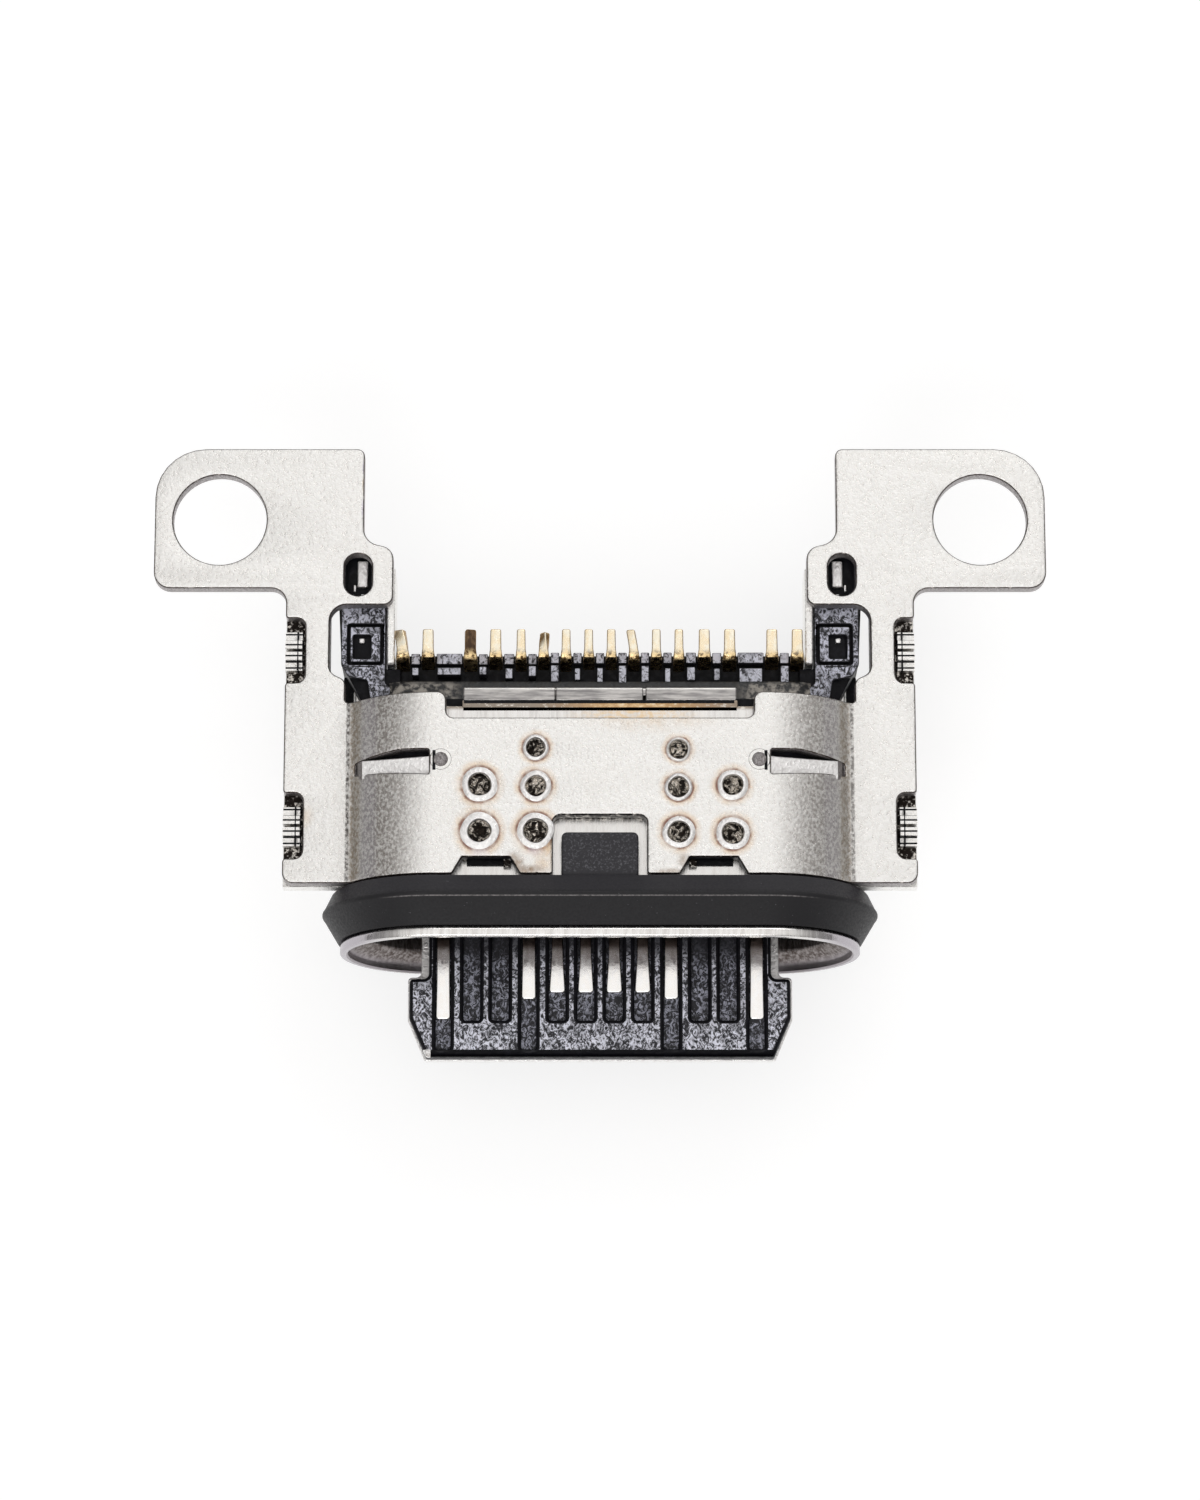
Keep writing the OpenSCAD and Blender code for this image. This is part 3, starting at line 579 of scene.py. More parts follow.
def filled_plastic(name, dark, pale, share=0.5, shaded=False):
    """Glass-filled black plastic: its level faces carry a pale mottle, partly fibre pattern and partly
    painted sheen of lit tops, its edges and walls are black.
    """
    n = Nodes(name)
    fibres = n.noise(11.0, 6.0, 0.74, stretch=(1.0, 0.75, 1.0), distortion=1.6)
    veins = n.noise(4.0, 4.0, 0.6, distortion=0.8)
    middle = 0.56 - 0.1 * share
    fleck = n.times(n.remap(fibres, middle - 0.05, middle + 0.05), n.remap(veins, 0.3, 0.55, 0.5, 1.0))
    # The mottle stays on level faces: painted sheen where light falls on the tops.
    fleck = n.times(fleck, n.remap(n.lift(), 0.8, 0.98))
    # Shaded: painted shade fades the mottle under the shell's rim.
    if shaded:
        fleck = n.times(fleck, n.along(RIM_Y - 0.3, RIM_Y + 0.16, 1.0, 0.1))
    return n.surface(n.mix(fleck, dark, pale), fibres, (0.55, 0.36), 0.02, 0.8, metal=0.0)


def black_gloss():
    """Near-black with faint gloss: the black moulding's own colour, and painted shadow in the gaps between
    metal parts.
    """
    n = Nodes("black_plastic_and_gap_shadow")
    skin = n.noise(9.0, 3.0)
    colour = n.mix(n.remap(skin, 0.5, 0.75), (0.006, 0.006, 0.008), (0.015, 0.015, 0.02))
    return n.surface(colour, skin, (0.5, 0.25), 0.03, 0.6, metal=0.0, gloss=0.12)


def gold(name, bright, shade, dull, rough, shaded=False):
    """Gold plate; tails have painted shade on their rims and painted shade with glints where they enter the
    comb, contacts get painted shade inside the mouth.
    """
    n = Nodes(name)
    wear = n.noise(12.0, 4.0, 0.6, stretch=(1.0, 0.5, 1.0))
    torn = n.noise(11.0, 4.0, 0.7)
    on_tail = n.along(COMB_Y1 - 1.0, COMB_Y1 - 0.9)
    colour = n.mix(n.remap(wear, 0.35, 0.7), shade, bright)
    # Painted shade on the contacts under the shell's rim.
    if shaded:
        colour = n.mix(n.along(RIM_Y, RIM_Y + 0.14), colour, (0.24, 0.2, 0.18))
    # Painted shade on the tails' rims.
    rim = n.times(n.remap(n.lift(), 0.75, 0.97, 0.85, 0.0), on_tail)
    colour = n.mix(rim, colour, (0.34, 0.20, 0.07))
    # Painted shade with glints where the tails enter the comb.
    entry_shade = n.mix(n.remap(torn, 0.4, 0.54), (0.10, 0.055, 0.02), (0.92, 0.70, 0.38))
    near_comb = n.times(n.along(COMB_Y1 - 0.12, COMB_Y1 + 0.05, 1.0, 0.0), on_tail)
    colour = n.mix(near_comb, colour, entry_shade)
    return n.surface(colour, wear, (0.2 + dull, 0.34 + dull), 0.02, rough, height=torn)


def resin():
    """Cured resin: black along the shield, grey and rough beside the cover's shoulders."""
    n = Nodes("potting_resin")
    flow = n.noise(7.0, 4.0, 0.6)
    outer = n.remap(n.remap(n.off_middle(), 2.3, 2.8), 0.0, 1.0, 0.05, 1.0)
    fleck = n.times(n.remap(flow, 0.42, 0.62), n.along(POTTING_Y1 - 0.1, POTTING_Y1, 1.0, 0.3), outer)
    colour = n.mix(fleck, (0.007, 0.007, 0.008), (0.38, 0.35, 0.31))
    return n.surface(colour, flow, (0.3, 0.5), 0.04, 0.7, metal=0.0)


BRACKET = nickel("bracket_nickel", with_shade_and_heat=True)
LOWER_NICKEL = nickel("lower_nickel", with_shade_and_heat=False)
# Rim and cut-face colours of the sheet: painted shade and reflection on its rounded rims and upright cut
# faces.
EDGE_LINE = mottled_edge("edge_line", (0.055, 0.04, 0.032), (0.62, 0.58, 0.54), 0.56, 0.66)
EDGE_SIDE = mottled_edge("edge_side", (0.22, 0.20, 0.20), (0.62, 0.59, 0.59), 0.36, 0.72, 30.0)
# Mottled painted shade with bright bits: notch floors, the key notch's cut faces, the lugs' torn bits and
# the shield's flap fronts.
MOTTLED_SHADE = mottled_edge("mottled_shade", (0.02, 0.016, 0.014), (0.80, 0.76, 0.70), 0.52, 0.62)
# White: the weld rings' own colour, also used for painted highlights on the finger tops, the mid-plate blade
# and the end blocks' glints, and for the tongue's pale corner.
WELD_RING_AND_HIGHLIGHT = mottled_edge("weld_ring_and_highlight", (0.86, 0.84, 0.83), (1.0, 0.99, 0.98), 0.3, 0.6)
WELD_POOL = weld_pool()
SHELL = bright_steel()
INSIDE = shell_inside()
SHIELD = shield_steel()
SILICONE = silicone()
# Lighter and darker copies of one plastic as painted light: lit tops on the tongue and the teeth, painted
# shade on the groove floors.
TONGUE = filled_plastic("tongue_plastic", (0.014, 0.014, 0.019), (0.86, 0.87, 0.98), 0.5, True)
GROOVE = filled_plastic("groove_plastic", (0.008, 0.008, 0.012), (0.42, 0.43, 0.52), 0.3, True)
HOUSING = filled_plastic("housing_plastic", (0.012, 0.012, 0.016), (0.66, 0.67, 0.78), 0.55)
TOOTH = filled_plastic("tooth_plastic", (0.02, 0.02, 0.026), (0.74, 0.75, 0.85), 1.0)
# Near-black: black plastic, and painted shadow in the bracket's and shield's gaps and in the comb's wells.
BLACK_AND_SHADOW = black_gloss()
CONTACT = gold("contact_gold", (1.0, 0.995, 0.985), (0.95, 0.93, 0.90), -0.08, 0.12, shaded=True)
TAIL = gold("tail_gold", (1.0, 0.95, 0.80), (1.0, 0.85, 0.60), 0.0, 0.5)
BURNT = gold("burnt_gold", (0.22, 0.14, 0.08), (0.07, 0.045, 0.03), 0.12, 0.5)
RESIN = resin()


# -------- mounting bracket

BEND_R = WELD_Z - SHEET_T / 2 - AXIS_Z
FILLET_R = 0.2 + SHEET_T / 2
FLAT_MID = SHEET_T / 2
FILLET_Z = FLAT_MID + FILLET_R
FILLET_X = FLAT_HALF + math.sqrt((BEND_R + FILLET_R) ** 2 - (FILLET_Z - AXIS_Z) ** 2)
LEAN = math.atan2(FILLET_Z - AXIS_Z, FILLET_X - FLAT_HALF)
ARC_END = FLAT_HALF + BEND_R * (math.pi / 2 - LEAN)
FILLET_END = ARC_END + FILLET_R * (math.pi / 2 - LEAN)
UNROLL = FILLET_END - FILLET_X


def bend_cover(s, y, n):
    """Bends the flat pattern: s runs along the sheet from the middle, n is the height over its mid-plane."""
    side = 1 if s >= 0 else -1
    a = abs(s)
    if a <= FLAT_HALF:
        return Vector((s, y, AXIS_Z + BEND_R + n))
    if a <= ARC_END:
        t = (a - FLAT_HALF) / BEND_R
        r = BEND_R + n
        return Vector((side * (FLAT_HALF + r * math.sin(t)), y, AXIS_Z + r * math.cos(t)))
    if a <= FILLET_END:
        t = LEAN + (a - ARC_END) / FILLET_R
        reach = FILLET_R - n
        return Vector((side * (FILLET_X - reach * math.cos(t)), y, FILLET_Z - reach * math.sin(t)))
    return Vector((side * (FILLET_X + a - FILLET_END), y, FLAT_MID + n))


def bend_if_cover(s, y, n):
    """The cover bends; the ears and tabs behind it stay flat and only slide inwards."""
    if y < COVER_Y1 + 0.06:
        return bend_cover(s, y, n)
    return Vector((s - math.copysign(UNROLL, s), y, FLAT_MID + n))


TAB_Y0 = -1.57
TAB_Y1 = -0.53
TAB_IN_X = 3.67
NECK_X = 4.2
NECK_Y = -0.4
EAR_Y0 = -1.27
RELIEF_IN_X = 4.5
RELIEF_OUT_X = 4.79
SLOT_X = 4.295
SLOT_HALF = 0.245
LUG_FRONT_HALF = 0.59
LUG_REAR_HALF = 0.415
LUG_LEN = 0.3
KEY_HALF = 0.82
KEY_Y = COVER_Y0 + 1.05
RECESS_Y = COVER_Y1 - 0.47
RECESS_HALF = 2.69
LEG_YS = (COVER_Y0 + 1.035, COVER_Y0 + 4.22)
NOTCH_LEN = 1.18
NOTCH_X = STRIP_HALF - 0.35
FINGER_Y0 = COVER_Y1 - 1.48
FINGER_Y1 = COVER_Y1 - 1.03
FINGER_S0 = 2.98
FINGER_S1 = 4.42


def bracket_half():
    """Right half of the flat pattern, from the rear recess round to the key notch."""
    level = [
        (RELIEF_IN_X, COVER_Y1, 0.05),
        (RELIEF_IN_X, COVER_Y1 + 0.41, 0.16),
        (RELIEF_OUT_X, COVER_Y1 + 0.55, 0.2),
        (RELIEF_OUT_X, TAB_Y0, 0.3),
        (TAB_IN_X, TAB_Y0, 0.16),
        (TAB_IN_X, TAB_Y1, 0.25),
        (NECK_X, NECK_Y, 0.3),
        (NECK_X, EAR_Y1, 0.13),
        (EAR_OUT, EAR_Y1, 0.9),
        (EAR_OUT, EAR_Y0, 0.3),
        (STRIP_HALF, EAR_Y0, 0.45),
    ]
    for y in reversed(LEG_YS):
        rear, front = y + NOTCH_LEN / 2, y - NOTCH_LEN / 2
        level += [(STRIP_HALF, rear, 0.06), (NOTCH_X, rear, 0.15)]
        level += [(NOTCH_X, front, 0.15), (STRIP_HALF, front, 0.06)]
    level.append((STRIP_HALF, COVER_Y0, 0.19))
    recess = [(RECESS_HALF, RECESS_Y, 0.13), (RECESS_HALF, COVER_Y1, 0.16)]
    lug = [
        (LUG_X + LUG_FRONT_HALF, COVER_Y0, 0.04),
        (LUG_X + LUG_REAR_HALF, COVER_Y0 + LUG_LEN, 0.03),
        (LUG_X - LUG_REAR_HALF, COVER_Y0 + LUG_LEN, 0.03),
        (LUG_X - LUG_FRONT_HALF, COVER_Y0, 0.04),
    ]
    key_notch = [(KEY_HALF, COVER_Y0, 0.05), (KEY_HALF, KEY_Y, 0.14)]
    return recess + [(x + UNROLL, y, r) for x, y, r in level] + lug + key_notch


def weld_part(x, y, bead, crater, seed):
    """Raised white bead round a dark, rough crater, slightly uneven."""
    rng = random.Random(seed)
    phases = [rng.uniform(0, 2 * math.pi) for _ in range(4)]
    lift, depth = 0.03, -0.13
    profile = [(0, depth)]
    for t in (0.25, 0.45, 0.62, 0.76, 0.88):
        profile.append((crater * t, depth + 0.09 * t**3 + rng.uniform(-0.015, 0.015)))
    profile += [(crater * 0.98, -0.015), (crater * 1.06, lift)]
    first = crater * 1.06
    profile += [(first + (bead - first) * t, lift * (1 - t**2)) for t in (0.25, 0.5, 0.75, 0.9)]
    profile += [(bead, -0.02), (bead * 0.9, -0.2), (0, -0.2)]

    def wobble(angle, radius):
        return sum(0.014 * math.sin((k + 1) * angle + p) for k, p in enumerate(phases))

    part = paint(lathe(profile, x, y, WELD_Z, 48, wobble), RING_AND_HIGHLIGHT_AT)
    return paint(part, POOL_AT, lambda f: math.dist(centre(f)[:2], (x, y)) < crater * 0.97)


# Places of the bracket's materials
LINE_AT, SIDE_AT, MOTTLED_SHADE_AT, RING_AND_HIGHLIGHT_AT, POOL_AT, GAP_SHADOW_AT = range(1, 7)


def trim_edges(sheet):
    """Marks the rims and the cut faces of the flat sheet for their painted shade and reflection; the lugs'
    upright faces get painted shadow and the key notch's cut faces mottled painted shade.
    """

    def place(face):
        x, y, _ = centre(face)
        upright, cut = abs(face.normal.z) < 0.3, abs(face.normal.z) < 0.95
        if upright and abs(abs(x) - LUG_X) < 0.6 and COVER_Y0 + 0.01 < y < COVER_Y0 + 0.36:
            return GAP_SHADOW_AT
        if cut and abs(x) < KEY_HALF and abs(y - KEY_Y) < 0.06:
            return MOTTLED_SHADE_AT
        return SIDE_AT if upright else LINE_AT if cut else 0

    sheet.normal_update()
    for face in sheet.faces:
        face.material_index = place(face)
    return sheet


def make_bracket():
    right = bracket_half()
    left = [(-x, y, r) for x, y, r in reversed(right)]
    outer = rounded(right + left)
    holes = []
    for side in (1, -1):
        holes.append(circle(side * (HOLE_X + UNROLL), 0, HOLE_R, 72))
        x = side * (SLOT_X + UNROLL)
        holes.append(rect(x - SLOT_HALF, -1.40, x + SLOT_HALF, -0.63, 0.235, 8))
        window = [
            (FINGER_S0, FINGER_Y0, 0.03),
            (FINGER_S1, FINGER_Y0 + 0.13, 0.03),
            (FINGER_S1, FINGER_Y1 - 0.13, 0.05),
            (FINGER_S0 + 0.5, FINGER_Y1, 0.5),
            (FINGER_S0, FINGER_Y1 - 0.01, 0.04),
        ]
        holes.append(rounded([(side * x, y, r) for x, y, r in window]))
    for x, y, _, crater in WELDS:
        holes.append(circle(x, y, crater * 1.05, 28))
    sheet = trim_edges(plate(outer, holes, -SHEET_T / 2, SHEET_T / 2, 0.042))
    bends = [FLAT_HALF + (FILLET_END - FLAT_HALF) * i / 22 for i in range(23)]
    cut_lines(sheet, 0, [s * side for s in bends for side in (1, -1)])
    cut_lines(sheet, 1, [COVER_Y1 + 0.06])
    reshape(sheet, bend_if_cover)
    parts = [sheet]
    for side in (1, -1):
        for make in (make_window_shadow, make_finger, make_slit_shadow, make_dimple, make_tab_wall):
            parts.append(make(side))
        parts += make_lug_shadow(side)
        for y in LEG_YS:
            parts += make_notch_shade(side, y)
    parts += [weld_part(*weld, seed) for seed, weld in enumerate(WELDS)]
    materials = [BRACKET, EDGE_LINE, EDGE_SIDE, MOTTLED_SHADE, WELD_RING_AND_HIGHLIGHT, WELD_POOL, BLACK_AND_SHADOW]
    dressed("bracket", "mounting_bracket", parts, materials)


def make_window_shadow(side):
    """Dark sheet under the window behind the pressed finger: painted shadow in the gap."""
    low, high = sorted((side * (FINGER_S0 - 0.02), side * (FINGER_S1 + 0.02)))
    outline = rect(low, FINGER_Y0 - 0.01, high, FINGER_Y1 + 0.01)
    floor = plate(outline, [], -SHEET_T / 2, -SHEET_T / 2 + 0.03, 0.01)
    cut_lines(floor, 0, [low + (high - low) * i / 16 for i in range(1, 16)])
    return paint(reshape(floor, bend_cover), GAP_SHADOW_AT)


def make_finger(side):
    """Flat finger pressed into its window; it lies nearer the mouth and runs straight past the bend."""
    inner, outer = FINGER_S0 - 0.05, FINGER_S1 - 0.16
    finger = bar(inner, FINGER_Y0 + 0.015, 0, outer, FINGER_Y1 - 0.11, 0.1, 0.02)
    cut_lines(finger, 0, [outer - 0.09])
    # The finger's top is painted white as a highlight; its outer end and sides get the painted edge shade.
    paint(finger, RING_AND_HIGHLIGHT_AT)
    paint(finger, SIDE_AT, lambda f: centre(f).x > outer - 0.08 or abs(f.normal.z) < 0.3)

    def press(x, y, z):
        slope = (x - inner) / (outer - inner)
        end = max(x - outer + 0.09, 0) * 1.2
        return Vector((side * x, y, WELD_Z - 0.23 - 0.42 * slope - end + z + (y - FINGER_Y0) * 0.12))

    return reshape(finger, press)


def make_slit_shadow(side):
    """Dark bar between the finger and its dimple: painted shadow of the slit."""
    low = (FINGER_S0 - 0.115, FINGER_Y0 + 0.06, WELD_Z - 0.02)
    high = (FINGER_S0 - 0.055, FINGER_Y1 - 0.03, WELD_Z + 0.002)
    return paint(side_bar(side, *low, *high, 0.008), GAP_SHADOW_AT)


def make_notch_shade(side, y):
    """Painted shade round the lower shell's finger in a notch: a mottled dark floor, and dark lines across
    the finger as painted shadows.
    """
    x0, x1 = NOTCH_X + 0.03, STRIP_HALF - 0.012
    boxes = [(NOTCH_X - 0.03, y - 0.6, 0.0, x1, y + 0.6, 0.03)]
    for at, top in ((-0.30, 0.2), (-0.19, 0.2), (-0.1, 0.3), (0.1, 0.3), (0.19, 0.2), (0.31, 0.2)):
        boxes.append((x0, y + at - 0.018, 0.05, x1 + 0.01, y + at + 0.018, top + 0.004))
    boxes.append((NOTCH_X + 0.11, y - 0.36, 0.05, NOTCH_X + 0.14, y + 0.34, 0.302))
    places = [MOTTLED_SHADE_AT] + [GAP_SHADOW_AT] * len(boxes)
    return [paint(side_bar(side, *box, 0.01), place) for box, place in zip(boxes, places)]


def make_lug_shadow(side):
    """Painted shadow in the slot between the cover and a lug of the shell, with a mottled dark torn bit at
    its inner end.
    """
    z = AXIS_Z + TUBE_R
    rear = COVER_Y0 + 0.31
    slot = side_bar(side, LUG_X - 0.34, COVER_Y0 + 0.2, z, LUG_X + 0.34, rear, z + 0.04, 0.01)
    torn = side_bar(side, LUG_X - 0.43, COVER_Y0 + 0.16, z, LUG_X - 0.3, rear, z + 0.12, 0.01)
    return [paint(slot, GAP_SHADOW_AT), paint(torn, MOTTLED_SHADE_AT)]


def make_dimple(side):
    """Rounded end of the pressed finger, painted grey with a dark rim as painted shade."""
    x, y = side * (FINGER_S0 - 0.2), (FINGER_Y0 + FINGER_Y1) / 2 + 0.03
    profile = [(0, 0.035), (0.07, 0.03), (0.12, 0.01), (0.15, -0.03), (0.165, -0.03)]
    profile += [(0.185, 0.004), (0.2, -0.01), (0.18, -0.2), (0, -0.2)]
    dimple = paint(lathe(profile, x, y, WELD_Z, 32), SIDE_AT)
    return paint(dimple, LINE_AT, lambda f: math.dist(centre(f)[:2], (x, y)) > 0.13)


def make_tab_wall(side):
    """Wall turned down from the inner edge of a tab."""
    front, rear, foot = TAB_Y0 - 1.03, -0.85, -0.9
    corners = [(front, foot, 0.05), (rear, foot, 0.05), (rear, 0.1, 0.02)]
    corners += [(TAB_Y0, 0.1, 0.02), (front, -0.03, 0.1)]
    wall = plate(rounded(corners), [], TAB_IN_X - 0.03, TAB_IN_X + 0.11, 0.03)
    return reshape(wall, lambda y, z, x: Vector((side * x, y, z)))


make_bracket()


# -------- inner shell, seal


def flare_line(r, rise, steps=12):
    """The flare as (radius, y), from the rim over a short level lip to the straight wall."""
    line = [(r + rise, RIM_Y + 0.03)]
    for i in range(steps + 1):
        t = i / steps
        line.append((r + rise * (1 - t * t * (3 - 2 * t)), RIM_Y + LIP_LEN + (FLARE_LEN - LIP_LEN) * t))
    return line


def make_tube():
    inner_rise = FLARE + TUBE_T - RIM_T
    outside = flare_line(TUBE_R, FLARE)
    inside = flare_line(BORE_R, inner_rise)
    rim_r = TUBE_R + FLARE
    rim = [(BORE_R + inner_rise + 0.03, RIM_Y), (rim_r - 0.05, RIM_Y), (rim_r - 0.015, RIM_Y + 0.01)]
    rear = COVER_Y1 - 0.19
    back = [(TUBE_R, rear - 0.02), (TUBE_R - 0.02, rear), (BORE_R + 0.02, rear), (BORE_R, rear - 0.02)]
    deep = [(BORE_R, RIM_Y + 1.5)]
    tube = stadium_sweep(rim + outside + back + deep + inside[::-1])

    def faces_in(face):
        x, _, z = centre(face)
        out = Vector((x - min(max(x, -FLAT_HALF), FLAT_HALF), 0, z - AXIS_Z))
        return face.normal.dot(out) < -0.1

    paint(tube, 1, faces_in)
    ear = bar(-2.42, rear - 0.1, AXIS_Z + BORE_R, 2.42, rear + 0.11, AXIS_Z + TUBE_R)
    dressed("mouth_shell", "inner_shell", [tube, ear], [SHELL, INSIDE])


def make_seal():
    """Ring with a straight-sided lip, and the key that fills the cover's notch."""
    front = RIM_Y + 0.2
    heel = COVER_Y0 - 0.03
    crest = TUBE_R + 0.47
    gap = 0.012
    under = [(r + gap, y) for r, y in flare_line(TUBE_R, FLARE) if y > front]
    profile = [(under[0][0], front + 0.01), (TUBE_R + 0.24, front), (TUBE_R + 0.26, front + 0.02)]
    profile += arc(crest, SEAL_CREST_Y, 0.07, -55, 55, 9)
    profile += [(TUBE_R + 0.38, heel - 0.03), (TUBE_R + 0.35, heel), (TUBE_R + gap, heel)]
    profile += under[::-1]
    ring = stadium_sweep(profile)
    rear = COVER_Y0 + 0.75
    outline = rounded([(-0.67, heel - 0.1, 0), (0.67, heel - 0.1, 0), (0.67, rear, 0.1), (-0.67, rear, 0.1)])
    key = plate(outline, [], AXIS_Z + TUBE_R + gap, AXIS_Z + TUBE_R + 0.3, 0.05)
    dressed("silicone_seal", "seal_ring", [ring, key], [SILICONE])


make_tube()
make_seal()


# -------- tongue

PITCH = 0.5
TONGUE_HALF = 6.69 / 2
TONGUE_T = 0.7
PLATE_T = 0.15
ARM_X = 4.23
ROOT_HALF = 3.78
GROUND, POWER = (1, 12), (4, 9)


def contact_x(side, k):
    return side * (k - 6.5) * PITCH


def tongue_outline(rear, tip=TIP_Y, grow=0.0, latch_in=0.34):
    """Plan of the tongue: bevelled tip, latch notches and plain sides; grow widens it for the plate."""
    latch = TIP_Y + 1.4 + grow * 2
    half = TONGUE_HALF + grow
    side = [
        (half - 0.3, tip, 0.06),
        (half, TIP_Y + 0.7, 0.12),
        (half, latch, 0.08),
        (half - latch_in, latch, 0.1),
        (half - latch_in, latch + 1.5, 0.08),
        (half, latch + 1.5, 0.08),
        (half, rear, 0),
    ]
    return rounded(side + [(-x, y, r) for x, y, r in reversed(side)])


def make_wafer(side, node, name):
    """Half of the tongue: a core with the groove floors, a grooved face with black rims, and the root."""
    floor = 0.23
    rear = RIM_Y + 2.2
    tip = TIP_Y if side == UPPER else TIP_Y + 0.12
    core = paint(plate(tongue_outline(rear, tip), [], PLATE_T / 2, floor, 0.02), 1)
    holes = []
    for k in range(1, 13):
        open_front = k in GROUND + POWER
        half = (0.26 if open_front else 0.29) / 2
        front = TIP_Y + (0.15 if open_front else 0.66)
        x = contact_x(side, k)
        holes.append(rect(x - half, front, x + half, RIM_Y + 1.2, 0.04, 3))
    face = plate(tongue_outline(rear, tip), holes, floor - 0.07, TONGUE_T / 2, 0.068)
    facet = tip + 0.13
    cut_lines(face, 1, [facet])
    reshape(face, lambda x, y, z: Vector((x, y, z - max(facet - y, 0) * (z > TONGUE_T / 2 - 0.01))))
    paint(face, 2, lambda f: abs(f.normal.z) < 0.99 or centre(f).y < facet)
    if side == UPPER:
        # Pale patch on the tip's left corner.
        pale_corner_x = -TONGUE_HALF + 0.38
        cut_lines(face, 0, [pale_corner_x])
        paint(face, 3, lambda f: f.normal.z > 0.1 and centre(f).x < pale_corner_x and centre(f).y < facet)
    root = bar(-ROOT_HALF, RIM_Y + 1.9, PLATE_T / 2, ROOT_HALF, wafer_hi.y, 0.62, 0.05)
    parts = [core, face, root]
    for part in parts:
        reshape(part, lambda x, y, z: Vector((x, y, AXIS_Z + side * z)))
    dressed(name, node, parts, [TONGUE, GROOVE, BLACK_AND_SHADOW, WELD_RING_AND_HIGHLIGHT])


def make_mid_plate():
    """Steel plate between the wafers, proud at the tip, the sides and the latch notches, with two arms."""
    low, high = AXIS_Z - PLATE_T / 2, AXIS_Z + PLATE_T / 2
    blade = plate(tongue_outline(RIM_Y + 2.2, plate_lo.y, 0.035, 0.24), [], low, high, 0.02)
    # The blade is painted white as a highlight where it stands proud of the tongue.
    parts = [paint(blade, 1), bar(-3.4, RIM_Y + 2.1, low, 3.4, COVER_Y1 + 0.2, high)]
    for side in (1, -1):
        parts.append(side_bar(side, ARM_X - 0.14, COVER_Y1, low, ARM_X + 0.14, plate_hi.y, high))
        parts.append(side_bar(side, 3.3, COVER_Y1, low, ARM_X + 0.14, COVER_Y1 + 0.2, high))
    dressed("tongue_plate", "mid_plate", parts, [SHELL, WELD_RING_AND_HIGHLIGHT])


make_wafer(UPPER, "upper_wafer", "tongue_upper")
make_wafer(LOWER, "lower_wafer", "tongue_lower")
make_mid_plate()


# -------- contacts

CONTACT_T = 0.12
UPPER_TAILS = (0.2, 1.0, 1.85, 3.05)
LOWER_TAILS = (0.6, 1.4, 2.3, 3.5)
RAMP_TOP_Y = COMB_Y1 - 0.07
FAN_Y0 = RIM_Y + 3.1
FAN_Y1 = COVER_Y1 - 0.04


def tail_x(side, k):
    rank = 3 if k in GROUND else 6 - k if k < 7 else k - 7
    reach = (UPPER_TAILS if side == UPPER else LOWER_TAILS)[rank]
    return math.copysign(reach, contact_x(side, k))


def tail_w(k):
    return 0.2 if k in GROUND + POWER else 0.16


# Damage of the tails: sideways lean, twist in degrees, dip of the tip and lost length
BENT = {
    (LOWER, 12): (-0.05, 28, -0.05, 0.0),
    (LOWER, 9): (0.0, -14, -0.02, 0.0),
    (UPPER, 5): (0.02, 48, 0.0, 0.06),
    (LOWER, 6): (-0.05, 10, 0.0, 0.01),
}


